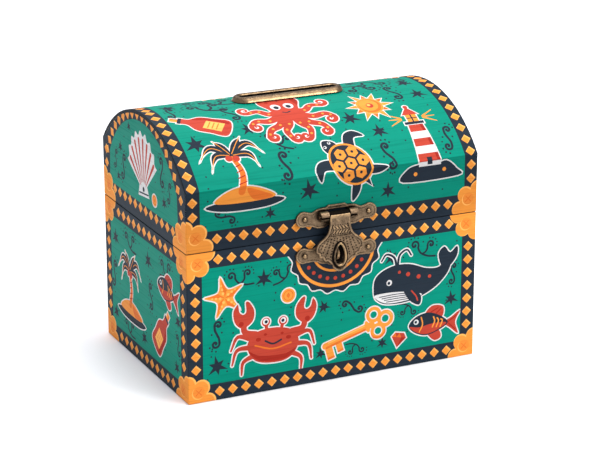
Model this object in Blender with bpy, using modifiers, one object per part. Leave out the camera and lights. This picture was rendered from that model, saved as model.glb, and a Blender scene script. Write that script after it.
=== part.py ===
"""A small treasure-chest money box: a printed plywood chest with an arched, hinged lid.

The lid carries a metal coin slot and the upper half of a hasp, whose flap hangs over a staple
on the chest's front. Two butt hinges on the back carry the lid.

The origin is the centre of the chest's underside. +X is to the right of someone who faces the
hasp, the front looks along -Y, and +Z is up. Lengths are in metres.
"""
import math

import bmesh
import bpy
from mathutils import Matrix, Vector

MM = 0.001

# The chest and the lid
CHEST_WIDTH = 140.0 * MM
CHEST_DEPTH = 96.8 * MM
SEAM_HEIGHT = 67.9 * MM
LID_RAIL_RISE = 26.9 * MM
LID_CROWN_RISE = 22.9 * MM
WALL = 4.0 * MM
BOTTOM_THICKNESS = 3.0 * MM
LID_SHEET = 1.5 * MM
JOINT_GAP = 0.3 * MM
SEAM_GAP = 0.4 * MM
ARCH_STEPS = 28

# The coin slot's metal rim
SLOT_LENGTH = 47.0 * MM
SLOT_WIDTH = 4.6 * MM
SLOT_RIM_WIDTH = 3.2 * MM
SLOT_RIM_RISE = 2.2 * MM
SLOT_NECK = 0.8 * MM
SLOT_NECK_REACH = 0.5 * MM
SLOT_END_STEPS = 10
# The rim's section: shares of its width outwards from the slot, and of its rise above its foot
SLOT_RIM_SHARES = ((0.0, 0.74), (0.12, 0.9), (0.45, 1.0), (0.78, 0.84), (1.0, 0.42), (1.0, 0.0))

# Round brass nails, all of one size
NAIL_SHANK_RADIUS = 0.6 * MM
NAIL_HEAD_RADIUS = 1.25 * MM
NAIL_HEAD_HEIGHT = 0.55 * MM
NAIL_BITE = 2.8 * MM
NAIL_STEPS = 12
HOLE_CLEARANCE = 0.25 * MM

# The hasp: places are measured down or up from its pin, and from the chest's front face
HASP_SHEET = 0.8 * MM
HASP_PIN_RISE = 9.1 * MM
HASP_PIN_STANDOFF = 2.6 * MM
HASP_PIN_RADIUS = 0.75 * MM
HASP_PIN_OVERHANG = 0.4 * MM
HASP_KNUCKLE_RADIUS = 2.1 * MM
HASP_KNUCKLE_LENGTH = 3.8 * MM
HASP_SIDE_CLEARANCE = 0.3 * MM
HASP_NAIL_SPACING = 30.6 * MM
HASP_EAR_RADIUS = 3.5 * MM
HASP_EAR_OFFSET = 0.6 * MM

UPPER_PLATE_RISE = 4.2 * MM
UPPER_PLATE_DROP = 5.7 * MM
UPPER_EAR_DROP = 0.8 * MM
WINDOW_RISE = 2.8 * MM
WINDOW_DROP = 2.5 * MM
# Shares of the plate's rise, from the hump down to the notch beside each ear, and of its drop
UPPER_SHOULDER_SHARE = 0.74
UPPER_NOTCH_SHARE = 0.4
UPPER_HUMP_SHARE = 0.8
UPPER_FOOT_NOTCH_SHARE = 0.8
UPPER_FOOT_CENTRE_SHARE = 0.86

LOWER_PLATE_CENTRE_DROP = 8.15 * MM
LOWER_PLATE_RISE = 4.4 * MM
LOWER_PLATE_DROP = 6.1 * MM
# The lower plate's contour between its ears: shares of the nails' half spacing, and of its
# rise or drop
LOWER_TOP_SHARES = ((0.72, 0.62), (0.5, 0.86), (0.2, 1.0))
LOWER_FOOT_SHARES = ((0.74, 0.5), (0.62, 0.58), (0.52, 0.72), (0.32, 0.78), (0.26, 0.95), (0.14, 1.0))

FLAP_NECK_WIDTH = 9.6 * MM
FLAP_WIDTH = 22.5 * MM
FLAP_LENGTH = 26.0 * MM
# The shell-shaped leaf below its neck: shares of half its width, and of its length from the pin
FLAP_NECK_SHARE = 0.13
FLAP_SHELL_SHARES = (
    (0.47, 0.22), (0.54, 0.31), (0.7, 0.38), (0.87, 0.44), (0.97, 0.49), (1.0, 0.545),
    (0.98, 0.6), (0.91, 0.65), (0.85, 0.69), (0.75, 0.715), (0.66, 0.755), (0.53, 0.775),
    (0.43, 0.81),
)
FLAP_SLOT_WIDTH = 4.9 * MM
FLAP_SLOT_LENGTH = 8.8 * MM
FLAP_SLOT_DROP = 18.1 * MM
BEZEL_WIDTH = 1.1 * MM
BEZEL_HEIGHT = 0.8 * MM

STAPLE_WIRE_RADIUS = 0.7 * MM
STAPLE_SPACING = 4.4 * MM
STAPLE_FLAP_GAP = 0.3 * MM
STAPLE_BITE = 2.6 * MM
STAPLE_STEPS = 10

# The back hinges
HINGE_SPACING = 76.0 * MM
HINGE_WIDTH = 18.0 * MM
HINGE_LEAF_HEIGHT = 12.5 * MM
HINGE_SHEET = 0.8 * MM
HINGE_KNUCKLE_RADIUS = 1.9 * MM
HINGE_KNUCKLE_LENGTH = 6.4 * MM
HINGE_PIN_RADIUS = 0.75 * MM
HINGE_PIN_OVERHANG = 0.4 * MM
HINGE_CORNER_RADIUS = 2.0 * MM
HINGE_NAIL_SPACING = 10.4 * MM
HINGE_NAIL_DROP = 8.2 * MM

ROUND_STEPS = 16
CORNER_STEPS = 4
CUT_OVERRUN = 1.0 * MM
WELD_DISTANCE = 0.002 * MM
SHARP_ANGLE = math.radians(35)

# Colours seen on the object, as linear values
GREEN_PRINT = (0.003, 0.325, 0.223)
NAVY_PRINT = (0.027, 0.041, 0.058)
BARE_PLY = (0.62, 0.43, 0.24)
BRONZE = (0.262, 0.178, 0.091)

FRONT_FACE = -CHEST_DEPTH / 2
BACK_FACE = CHEST_DEPTH / 2
WALL_TOP = SEAM_HEIGHT - SEAM_GAP / 2
LID_FOOT = SEAM_HEIGHT + SEAM_GAP / 2
CREASE_HEIGHT = SEAM_HEIGHT + LID_RAIL_RISE
CROWN_HEIGHT = CREASE_HEIGHT + LID_CROWN_RISE
ARCH_RADIUS = ((CHEST_DEPTH / 2) ** 2 + LID_CROWN_RISE ** 2) / (2 * LID_CROWN_RISE)
ARCH_CENTRE = CROWN_HEIGHT - ARCH_RADIUS
HASP_PIN_HEIGHT = SEAM_HEIGHT + HASP_PIN_RISE
HASP_PIN_Y = FRONT_FACE - HASP_PIN_STANDOFF
HINGE_PIN_Y = BACK_FACE + JOINT_GAP + HINGE_KNUCKLE_RADIUS


def clear_scene():
    """Removes every object of the open scene."""
    for item in list(bpy.data.objects):
        bpy.data.objects.remove(item, do_unlink=True)


def new_collection(name):
    """Adds a collection to the scene."""
    group = bpy.data.collections.new(name)
    bpy.context.scene.collection.children.link(group)
    return group


def paint(item, colour, roughness, metallic):
    """Gives an object its own Principled material."""
    material = bpy.data.materials.new(item.name)
    material.use_nodes = True
    shader = material.node_tree.nodes["Principled BSDF"]
    shader.inputs["Base Color"].default_value = (*colour, 1)
    shader.inputs["Roughness"].default_value = roughness
    shader.inputs["Metallic"].default_value = metallic
    item.data.materials.clear()
    item.data.materials.append(material)
    return item


def printed(item):
    """Plywood with the green print."""
    return paint(item, GREEN_PRINT, 0.55, 0)


def bordered(item):
    """Plywood that shows mostly the navy border print."""
    return paint(item, NAVY_PRINT, 0.55, 0)


def bronze(item):
    """Antique bronze plate."""
    return paint(item, BRONZE, 0.4, 1)


def object_from(name, mesh, location=(0, 0, 0)):
    """Adds a mesh to the parts' collection."""
    item = bpy.data.objects.new(name, mesh)
    item.location = location
    PARTS.objects.link(item)
    return item


def tool(item):
    """Makes an object a cutter or a guide, which shapes others and isn't a part."""
    PARTS.objects.unlink(item)
    TOOLS.objects.link(item)
    item.hide_render = True
    item.display_type = "WIRE"
    return item


def combine(item, other, operation):
    """Adds a Boolean modifier with another object."""
    change = item.modifiers.new(other.name, "BOOLEAN")
    change.operation = operation
    change.solver = "EXACT"
    change.object = tool(other)
    return item


def smooth(item):
    """Shades an object smooth, with its hard edges kept."""
    item.data.shade_smooth()
    item.data.set_sharp_from_angle(angle=SHARP_ANGLE)
    return item


def panel(name, low, high):
    """A rectangular board between two corners, with its origin at its middle."""
    low, high = Vector(low), Vector(high)
    solid = bmesh.new()
    bmesh.ops.create_cube(solid, size=1)
    bmesh.ops.scale(solid, vec=high - low, verts=solid.verts)
    mesh = bpy.data.meshes.new(name)
    solid.to_mesh(mesh)
    solid.free()
    return object_from(name, mesh, (low + high) / 2)


def rod(name, radius, start, end, steps=ROUND_STEPS):
    """A cylinder from one point to another, turned so that flats face the main directions."""
    start, end = Vector(start), Vector(end)
    solid = bmesh.new()
    bmesh.ops.create_cone(
        solid, cap_ends=True, segments=steps, radius1=radius, radius2=radius,
        depth=(end - start).length)
    turn = Vector((0, 0, 1)).rotation_difference(end - start).to_matrix()
    half_step = Matrix.Rotation(math.pi / steps, 3, "Z")
    bmesh.ops.transform(solid, matrix=(turn @ half_step).to_4x4(), verts=solid.verts)
    mesh = bpy.data.meshes.new(name)
    solid.to_mesh(mesh)
    solid.free()
    return smooth(object_from(name, mesh, (start + end) / 2))


def arc(centre, radius, first, last, steps):
    """Points along an arc, with its angles in degrees."""
    points = []
    for step in range(steps + 1):
        angle = math.radians(first + (last - first) * step / steps)
        points.append((centre[0] + radius * math.cos(angle), centre[1] + radius * math.sin(angle)))
    return points


def stadium(length, width, steps):
    """A slot's outline about the origin: two straight sides with round ends."""
    radius = width / 2
    reach = length / 2 - radius
    return arc((reach, 0), radius, -90, 90, steps) + arc((-reach, 0), radius, 90, 270, steps)


def mirrored(half):
    """A closed outline from its half at +X, which runs from the top to the foot."""
    return half + [(-x, z) for x, z in reversed(half) if x > 0]


def flat_curve(name, points, spin=(0, 0, 0), location=(0, 0, 0)):
    """A closed 2D curve through an outline's points."""
    curve = bpy.data.curves.new(name, "CURVE")
    curve.dimensions = "2D"
    curve.fill_mode = "BOTH"
    spline = curve.splines.new("POLY")
    spline.points.add(len(points) - 1)
    for point, (u, v) in zip(spline.points, points):
        point.co = (u, v, 0, 1)
    spline.use_cyclic_u = True
    item = bpy.data.objects.new(name, curve)
    item.rotation_euler = spin
    item.location = location
    PARTS.objects.link(item)
    return item


def as_mesh(item):
    """Turns a curve object into a closed mesh object of the same name and place."""
    bpy.context.view_layer.update()
    evaluated = item.evaluated_get(bpy.context.evaluated_depsgraph_get())
    mesh = bpy.data.meshes.new_from_object(evaluated)
    solid = bmesh.new()
    solid.from_mesh(mesh)
    bmesh.ops.remove_doubles(solid, verts=solid.verts, dist=WELD_DISTANCE)
    bmesh.ops.recalc_face_normals(solid, faces=solid.faces)
    solid.to_mesh(mesh)
    solid.free()
    name, place = item.name, item.matrix_world.copy()
    bpy.data.objects.remove(item, do_unlink=True)
    result = object_from(name, mesh)
    result.matrix_world = place
    return result


FACING_FRONT = (math.radians(90), 0, 0)
FACING_SIDE = (math.radians(90), 0, math.radians(90))
FACING_UP = (0, 0, 0)


def plate(name, points, thickness, location, facing):
    """A flat outline given a thickness, centred on its place."""
    item = flat_curve(name, points, facing, location)
    item.data.extrude = thickness / 2
    return as_mesh(item)


def arch_points(radius, half_depth, first=-1, last=1):
    """Points along the lid's arch in the side view, from one end share to the other."""
    reach = math.asin(min(1, half_depth / radius))
    points = []
    for step in range(ARCH_STEPS + 1):
        angle = reach * (first + (last - first) * step / ARCH_STEPS)
        points.append((radius * math.sin(angle), ARCH_CENTRE + radius * math.cos(angle)))
    return points


def nail(name, seat, inward):
    """A round-headed nail: its head rests on seat, and its shank runs inward from there."""
    reach = NAIL_BITE + HASP_SHEET + JOINT_GAP
    profile = [
        (0, 0, NAIL_HEAD_HEIGHT),
        (NAIL_HEAD_RADIUS * 0.5, 0, NAIL_HEAD_HEIGHT * 0.85),
        (NAIL_HEAD_RADIUS, 0, NAIL_HEAD_HEIGHT * 0.3),
        (NAIL_HEAD_RADIUS, 0, 0),
        (NAIL_SHANK_RADIUS, 0, 0),
        (NAIL_SHANK_RADIUS, 0, -reach),
        (0, 0, -reach - NAIL_SHANK_RADIUS),
    ]
    mesh = bpy.data.meshes.new(name)
    mesh.from_pydata(profile, [(step, step + 1) for step in range(len(profile) - 1)], [])
    item = object_from(name, mesh, seat)
    item.rotation_euler = Vector((0, 0, -1)).rotation_difference(Vector(inward)).to_euler()
    turned = item.modifiers.new("turned", "SCREW")
    turned.axis = "Z"
    turned.steps = NAIL_STEPS
    turned.render_steps = NAIL_STEPS
    turned.use_merge_vertices = True
    turned.merge_threshold = WELD_DISTANCE
    turned.use_smooth_shade = True
    return bronze(item)


def nail_hole(item, seat, inward):
    """Drills a nail's clearance hole through a part, from its seat inwards."""
    start = Vector(seat) - Vector(inward) * CUT_OVERRUN
    end = Vector(seat) + Vector(inward) * (NAIL_BITE + HASP_SHEET + JOINT_GAP + CUT_OVERRUN)
    hole = rod(item.name + "_hole", NAIL_SHANK_RADIUS + HOLE_CLEARANCE, start, end, NAIL_STEPS)
    return combine(item, hole, "DIFFERENCE")


def follow(empty, items):
    """Parents objects to an empty and leaves them where they are."""
    bpy.context.view_layer.update()
    for item in items:
        item.parent = empty
        item.matrix_parent_inverse = empty.matrix_world.inverted()


def pivot(name, location):
    """An empty on a joint's axis."""
    item = bpy.data.objects.new(name, None)
    item.location = location
    item.empty_display_size = HINGE_WIDTH
    PARTS.objects.link(item)
    return item


def build_chest():
    """The bottom and the four walls. The front and back walls run the chest's full width."""
    half_width = CHEST_WIDTH / 2
    inner_y = BACK_FACE - WALL - JOINT_GAP
    inner_x = half_width - WALL - JOINT_GAP
    bottom = paint(
        panel("bottom_panel", (-inner_x, -inner_y, 0), (inner_x, inner_y, BOTTOM_THICKNESS)),
        BARE_PLY, 0.6, 0)
    front = printed(panel(
        "front_wall", (-half_width, FRONT_FACE, 0), (half_width, FRONT_FACE + WALL, WALL_TOP)))
    back = printed(panel(
        "back_wall", (-half_width, BACK_FACE - WALL, 0), (half_width, BACK_FACE, WALL_TOP)))
    left = printed(panel(
        "left_wall", (-half_width, -inner_y, 0), (WALL - half_width, inner_y, WALL_TOP)))
    right = printed(panel(
        "right_wall", (half_width - WALL, -inner_y, 0), (half_width, inner_y, WALL_TOP)))
    return {"bottom": bottom, "front": front, "back": back, "left": left, "right": right}


def lid_rail(name, outer, inner):
    """An upright board under one edge of the lid's sheet, its top cut to the arch."""
    under = ARCH_RADIUS - LID_SHEET - JOINT_GAP
    outline = [(outer, LID_FOOT), (inner, LID_FOOT)]
    for share in (0, 0.25, 0.5, 0.75, 1):
        y = inner + (outer - inner) * share
        outline.append((y, ARCH_CENTRE + math.sqrt(under ** 2 - y ** 2)))
    return bordered(plate(name, outline, CHEST_WIDTH, (0, 0, 0), FACING_SIDE))


def lid_end(name, x):
    """A D-shaped board that closes one end of the lid, between the two rails."""
    half = BACK_FACE - WALL - JOINT_GAP
    under = ARCH_RADIUS - LID_SHEET - JOINT_GAP
    outline = [(half, LID_FOOT), (-half, LID_FOOT)] + arch_points(under, half)
    return printed(smooth(plate(name, outline, WALL, (x, 0, 0), FACING_SIDE)))


def build_lid():
    """The lid's rails, ends and bent sheet, with the coin slot cut in the sheet."""
    front = lid_rail("lid_front_rail", FRONT_FACE, FRONT_FACE + WALL)
    back = lid_rail("lid_back_rail", BACK_FACE, BACK_FACE - WALL)
    end_x = CHEST_WIDTH / 2 - WALL / 2
    left = lid_end("lid_left_end", -end_x)
    right = lid_end("lid_right_end", end_x)
    outer = arch_points(ARCH_RADIUS, BACK_FACE)
    inner = arch_points(ARCH_RADIUS - LID_SHEET, BACK_FACE)
    sheet = printed(smooth(plate(
        "lid_top_panel", outer + inner[::-1], CHEST_WIDTH, (0, 0, 0), FACING_SIDE)))
    clearance = SLOT_NECK + HOLE_CLEARANCE
    opening = plate(
        "slot_opening",
        stadium(SLOT_LENGTH + 2 * clearance, SLOT_WIDTH + 2 * clearance, SLOT_END_STEPS),
        LID_SHEET + 2 * CUT_OVERRUN, (0, 0, CROWN_HEIGHT - LID_SHEET / 2), FACING_UP)
    combine(sheet, opening, "DIFFERENCE")
    return {"front": front, "back": back, "left": left, "right": right, "sheet": sheet}


def build_slot_rim():
    """The coin slot's rim: one section that runs round the slot, with a neck through the sheet."""
    foot = JOINT_GAP
    neck_foot = -LID_SHEET - SLOT_NECK_REACH
    section = [(0, neck_foot)]
    for out_share, rise_share in SLOT_RIM_SHARES:
        section.append((SLOT_RIM_WIDTH * out_share, foot + SLOT_RIM_RISE * rise_share))
    section += [(SLOT_NECK, foot), (SLOT_NECK, neck_foot)]
    profile = tool(flat_curve("slot_rim_section", section))
    path = flat_curve(
        "coin_slot_plate", stadium(SLOT_LENGTH, SLOT_WIDTH, SLOT_END_STEPS),
        location=(0, 0, CROWN_HEIGHT))
    path.data.dimensions = "3D"
    path.data.twist_mode = "Z_UP"
    path.data.bevel_mode = "OBJECT"
    path.data.bevel_object = profile
    rim = bronze(smooth(as_mesh(path)))
    bpy.data.objects.remove(profile, do_unlink=True)
    return rim


def ear(centre, first, last):
    """The round end of a hasp plate."""
    return arc(centre, HASP_EAR_RADIUS, first, last, 2 * CORNER_STEPS)


def build_upper_plate():
    """The hasp's plate on the lid, with its window and the two knuckles beside it."""
    window = FLAP_NECK_WIDTH / 2 + HASP_SIDE_CLEARANCE
    knuckle_end = window + HASP_KNUCKLE_LENGTH
    nail_x = HASP_NAIL_SPACING / 2
    ear_x = nail_x + HASP_EAR_OFFSET
    notch = (knuckle_end + nail_x) / 2 - HASP_EAR_OFFSET / 2
    shoulder = UPPER_PLATE_RISE * UPPER_SHOULDER_SHARE
    half = [
        (window * UPPER_HUMP_SHARE, UPPER_PLATE_RISE),
        (window + HASP_SIDE_CLEARANCE, shoulder),
        (knuckle_end, shoulder),
        (notch, UPPER_PLATE_RISE * UPPER_NOTCH_SHARE),
    ]
    half += ear((ear_x, -UPPER_EAR_DROP), 110, -110)
    half += [
        (notch, -UPPER_PLATE_DROP * UPPER_FOOT_NOTCH_SHARE),
        (knuckle_end, -UPPER_PLATE_DROP),
        (window + HASP_SIDE_CLEARANCE, -UPPER_PLATE_DROP),
        (window * UPPER_HUMP_SHARE, -UPPER_PLATE_DROP * UPPER_FOOT_CENTRE_SHARE),
    ]
    plate_y = FRONT_FACE - JOINT_GAP - HASP_SHEET / 2
    item = plate(
        "hasp_upper_plate", mirrored(half), HASP_SHEET, (0, plate_y, HASP_PIN_HEIGHT),
        FACING_FRONT)
    for side in (-1, 1):
        combine(item, rod(
            "hasp_knuckle", HASP_KNUCKLE_RADIUS,
            (side * window, HASP_PIN_Y, HASP_PIN_HEIGHT),
            (side * knuckle_end, HASP_PIN_Y, HASP_PIN_HEIGHT)), "UNION")
    reach = HASP_SHEET + CUT_OVERRUN
    combine(item, panel(
        "hasp_window",
        (-window, plate_y - reach, HASP_PIN_HEIGHT - WINDOW_DROP),
        (window, plate_y + reach, HASP_PIN_HEIGHT + WINDOW_RISE)), "DIFFERENCE")
    combine(item, pin_bore(
        "hasp_bore", HASP_PIN_RADIUS, (0, HASP_PIN_Y, HASP_PIN_HEIGHT), 2 * knuckle_end),
        "DIFFERENCE")
    return bronze(item), knuckle_end


def pin_bore(name, pin_radius, centre, length):
    """A cutter along X for a pin's running hole."""
    reach = Vector((length / 2 + CUT_OVERRUN, 0, 0))
    middle = Vector(centre)
    return rod(name, pin_radius + HOLE_CLEARANCE, middle - reach, middle + reach)


def build_flap(knuckle_end):
    """The hasp's swinging flap and the pin that carries it."""
    half_neck = FLAP_NECK_WIDTH / 2
    half_width = FLAP_WIDTH / 2
    half = [(half_neck, 0), (half_neck, -FLAP_LENGTH * FLAP_NECK_SHARE)]
    half += [(half_width * out, -FLAP_LENGTH * down) for out, down in FLAP_SHELL_SHARES]
    lobe = FLAP_SLOT_WIDTH / 2 + BEZEL_WIDTH
    half += arc((0, lobe - FLAP_LENGTH), lobe, 0, -90, CORNER_STEPS)[:-1]
    half += [(0, -FLAP_LENGTH)]
    front = HASP_PIN_Y - HASP_KNUCKLE_RADIUS
    flap = plate(
        "hasp_flap", mirrored(half), HASP_SHEET,
        (0, front + HASP_SHEET / 2, HASP_PIN_HEIGHT), FACING_FRONT)
    combine(flap, rod(
        "flap_curl", HASP_KNUCKLE_RADIUS,
        (-half_neck, HASP_PIN_Y, HASP_PIN_HEIGHT), (half_neck, HASP_PIN_Y, HASP_PIN_HEIGHT)),
        "UNION")
    slot_height = HASP_PIN_HEIGHT - FLAP_SLOT_DROP
    upright = [(-v, u) for u, v in stadium(
        FLAP_SLOT_LENGTH + 2 * BEZEL_WIDTH, FLAP_SLOT_WIDTH + 2 * BEZEL_WIDTH, ROUND_STEPS // 2)]
    combine(flap, plate(
        "flap_bezel", upright, BEZEL_HEIGHT + HASP_SHEET,
        (0, front + (HASP_SHEET - BEZEL_HEIGHT) / 2, slot_height), FACING_FRONT), "UNION")
    hole = [(-v, u) for u, v in stadium(FLAP_SLOT_LENGTH, FLAP_SLOT_WIDTH, ROUND_STEPS // 2)]
    combine(flap, plate(
        "flap_slot", hole, BEZEL_HEIGHT + HASP_SHEET + 2 * CUT_OVERRUN,
        (0, front, slot_height), FACING_FRONT), "DIFFERENCE")
    combine(flap, pin_bore(
        "flap_bore", HASP_PIN_RADIUS, (0, HASP_PIN_Y, HASP_PIN_HEIGHT), FLAP_NECK_WIDTH),
        "DIFFERENCE")
    reach = knuckle_end + HASP_PIN_OVERHANG
    pin = rod(
        "hasp_pin", HASP_PIN_RADIUS, (-reach, HASP_PIN_Y, HASP_PIN_HEIGHT),
        (reach, HASP_PIN_Y, HASP_PIN_HEIGHT))
    return bronze(flap), bronze(pin)


def build_lower_plate():
    """The hasp's plate on the chest."""
    ear_x = HASP_NAIL_SPACING / 2 + HASP_EAR_OFFSET
    half = [(HASP_NAIL_SPACING / 2 * out, LOWER_PLATE_RISE * up)
            for out, up in reversed(LOWER_TOP_SHARES)]
    half += ear((ear_x, 0), 110, -110)
    half += [(HASP_NAIL_SPACING / 2 * out, -LOWER_PLATE_DROP * down)
             for out, down in LOWER_FOOT_SHARES]
    height = SEAM_HEIGHT - LOWER_PLATE_CENTRE_DROP
    return bronze(plate(
        "hasp_lower_plate", mirrored(half), HASP_SHEET,
        (0, FRONT_FACE - JOINT_GAP - HASP_SHEET / 2, height), FACING_FRONT))


def build_staple():
    """The wire staple that the flap's slot goes over, driven through the lower plate."""
    tip = HASP_PIN_Y - HASP_KNUCKLE_RADIUS + HASP_SHEET + STAPLE_FLAP_GAP + STAPLE_WIRE_RADIUS
    radius = STAPLE_SPACING / 2
    height = HASP_PIN_HEIGHT - FLAP_SLOT_DROP
    root = FRONT_FACE + STAPLE_BITE
    bend = tip + radius
    route = [(root, height + radius)]
    route += [(bend - radius * math.cos(angle), height + radius * math.sin(angle))
              for angle in (math.pi / 2 - math.pi * step / STAPLE_STEPS
                            for step in range(STAPLE_STEPS + 1))]
    route += [(root, height - radius)]
    curve = bpy.data.curves.new("hasp_staple", "CURVE")
    curve.dimensions = "3D"
    curve.bevel_depth = STAPLE_WIRE_RADIUS
    curve.bevel_resolution = 2
    curve.use_fill_caps = True
    spline = curve.splines.new("POLY")
    spline.points.add(len(route) - 1)
    for point, (y, z) in zip(spline.points, route):
        point.co = (0, y, z, 1)
    item = bpy.data.objects.new("hasp_staple", curve)
    PARTS.objects.link(item)
    staple = bronze(smooth(as_mesh(item)))
    legs = [(0, root, height + side * radius) for side in (-1, 1)]
    return staple, legs


def staple_holes(item, legs):
    """Drills the staple's two leg holes through a part."""
    for leg in legs:
        start = Vector(leg) + Vector((0, CUT_OVERRUN, 0))
        end = Vector((leg[0], FRONT_FACE - JOINT_GAP - HASP_SHEET - CUT_OVERRUN, leg[2]))
        hole = rod("staple_hole", STAPLE_WIRE_RADIUS + HOLE_CLEARANCE, start, end, NAIL_STEPS)
        combine(item, hole, "DIFFERENCE")


def build_hasp(chest, lid):
    """The hasp's plates, flap, pin, staple and nails, and their holes in the wood."""
    upper, knuckle_end = build_upper_plate()
    flap, pin = build_flap(knuckle_end)
    lower = build_lower_plate()
    staple, legs = build_staple()
    staple_holes(lower, legs)
    staple_holes(chest["front"], legs)
    inward = (0, 1, 0)
    seat_y = FRONT_FACE - 2 * JOINT_GAP - HASP_SHEET
    upper_z = HASP_PIN_HEIGHT - UPPER_EAR_DROP
    lower_z = SEAM_HEIGHT - LOWER_PLATE_CENTRE_DROP
    nails = []
    for side, word in ((-1, "left"), (1, "right")):
        x = side * HASP_NAIL_SPACING / 2
        for level, z, metal, wood in (
                ("upper", upper_z, upper, lid["front"]), ("lower", lower_z, lower, chest["front"])):
            seat = (x, seat_y, z)
            nails.append(nail("hasp_nail_%s_%s" % (level, word), seat, inward))
            nail_hole(metal, seat, inward)
            nail_hole(wood, seat, inward)
    upper_nails = [item for item in nails if "upper" in item.name]
    return {"upper": upper, "flap": flap, "pin": pin, "upper_nails": upper_nails}


def leaf_outline(width, tongues, top, drop):
    """A hinge leaf's outline, drawn below its pin: tongues reach the pin, the plate hangs below."""
    points = []
    edge = -width / 2
    for first, last in tongues:
        if first > edge:
            points += [(edge, top), (first, top)]
        points += [(first, 0), (last, 0)]
        edge = last
        if last < width / 2:
            points.append((last, top))
    if edge < width / 2:
        points.append((width / 2, top))
    radius = HINGE_CORNER_RADIUS
    points += arc((width / 2 - radius, radius - drop), radius, 0, -90, CORNER_STEPS)
    points += arc((radius - width / 2, radius - drop), radius, -90, -180, CORNER_STEPS)
    return points


def build_leaf(name, x, up, tongues):
    """One leaf of a back hinge, with its knuckles. up is 1 on the lid and -1 on the chest."""
    top = -HINGE_KNUCKLE_RADIUS - JOINT_GAP
    points = leaf_outline(HINGE_WIDTH, tongues, top, HINGE_LEAF_HEIGHT)
    if up > 0:
        points = [(u, -v) for u, v in points]
    leaf_y = BACK_FACE + JOINT_GAP + HINGE_SHEET / 2
    item = plate(name, points, HINGE_SHEET, (x, leaf_y, SEAM_HEIGHT), FACING_FRONT)
    for first, last in tongues:
        combine(item, rod(
            name + "_knuckle", HINGE_KNUCKLE_RADIUS,
            (x + first, HINGE_PIN_Y, SEAM_HEIGHT), (x + last, HINGE_PIN_Y, SEAM_HEIGHT)), "UNION")
    combine(item, pin_bore(
        name + "_bore", HINGE_PIN_RADIUS, (x, HINGE_PIN_Y, SEAM_HEIGHT), HINGE_WIDTH),
        "DIFFERENCE")
    return bronze(item)


def build_hinge(word, x, chest, lid):
    """A butt hinge on the back: two leaves, a pin and four nails. Returns what moves."""
    half = HINGE_WIDTH / 2
    middle = HINGE_KNUCKLE_LENGTH / 2
    outer = middle + JOINT_GAP
    name = "hinge_%s_" % word
    lid_leaf = build_leaf(name + "lid_leaf", x, 1, ((-half, -outer), (outer, half)))
    chest_leaf = build_leaf(name + "chest_leaf", x, -1, ((-middle, middle),))
    reach = half + HINGE_PIN_OVERHANG
    bronze(rod(
        name + "pin", HINGE_PIN_RADIUS, (x - reach, HINGE_PIN_Y, SEAM_HEIGHT),
        (x + reach, HINGE_PIN_Y, SEAM_HEIGHT)))
    inward = (0, -1, 0)
    seat_y = BACK_FACE + 2 * JOINT_GAP + HINGE_SHEET
    moving = [lid_leaf]
    for side, hand in ((-1, "a"), (1, "b")):
        nail_x = x + side * HINGE_NAIL_SPACING / 2
        for up, level, metal, wood in (
                (1, "lid", lid_leaf, lid["back"]), (-1, "chest", chest_leaf, chest["back"])):
            seat = (nail_x, seat_y, SEAM_HEIGHT + up * HINGE_NAIL_DROP)
            item = nail("%s%s_nail_%s" % (name, level, hand), seat, inward)
            nail_hole(metal, seat, inward)
            nail_hole(wood, seat, inward)
            if up > 0:
                moving.append(item)
    return moving


def build_money_box():
    """Builds every piece and hangs the moving ones on their joints."""
    chest = build_chest()
    lid = build_lid()
    rim = build_slot_rim()
    hasp = build_hasp(chest, lid)
    moving = list(lid.values()) + [rim, hasp["upper"], hasp["pin"]] + hasp["upper_nails"]
    for side, word in ((-1, "left"), (1, "right")):
        moving += build_hinge(word, side * HINGE_SPACING / 2, chest, lid)
    lid_pivot = pivot("lid_pivot", (0, HINGE_PIN_Y, SEAM_HEIGHT))
    flap_pivot = pivot("flap_pivot", (0, HASP_PIN_Y, HASP_PIN_HEIGHT))
    follow(flap_pivot, [hasp["flap"]])
    follow(lid_pivot, moving + [flap_pivot])


clear_scene()
PARTS = new_collection("money_box")
TOOLS = new_collection("cutters")
build_money_box()
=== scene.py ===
"""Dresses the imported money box: a treasure chest in printed plywood with antique bronze fittings.

Every board is a solid of its own, with eased edges and mitred corners, and its print is cut into
its face as flat shapes of ink. The fittings are pressed, rolled and drawn from sheet and wire.
Sizes are in millimetres unless a name says otherwise; the meshes are made in metres.
"""

import logging
import math
from collections.abc import Callable, Iterable, Sequence
from dataclasses import dataclass, field, replace
from enum import Enum

import bpy
import numpy as np
from mathutils import Matrix, Vector, geometry


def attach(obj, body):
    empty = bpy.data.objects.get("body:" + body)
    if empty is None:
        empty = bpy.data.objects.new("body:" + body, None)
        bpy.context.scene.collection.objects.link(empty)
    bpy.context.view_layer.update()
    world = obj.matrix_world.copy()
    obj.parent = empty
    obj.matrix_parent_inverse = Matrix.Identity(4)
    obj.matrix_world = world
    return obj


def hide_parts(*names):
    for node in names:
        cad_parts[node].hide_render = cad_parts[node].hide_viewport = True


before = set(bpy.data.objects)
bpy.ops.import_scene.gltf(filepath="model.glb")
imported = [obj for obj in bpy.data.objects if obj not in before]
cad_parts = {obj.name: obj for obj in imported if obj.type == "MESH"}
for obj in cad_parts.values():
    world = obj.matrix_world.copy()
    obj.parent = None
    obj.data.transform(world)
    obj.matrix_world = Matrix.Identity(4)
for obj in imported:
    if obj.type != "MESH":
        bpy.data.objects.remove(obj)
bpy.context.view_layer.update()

MM = 0.001
CDT_TOLERANCE = 1e-5
ON_EDGE = 2e-3
SMOOTH_BELOW = math.radians(32)
LOG = logging.getLogger("money_box")

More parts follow.
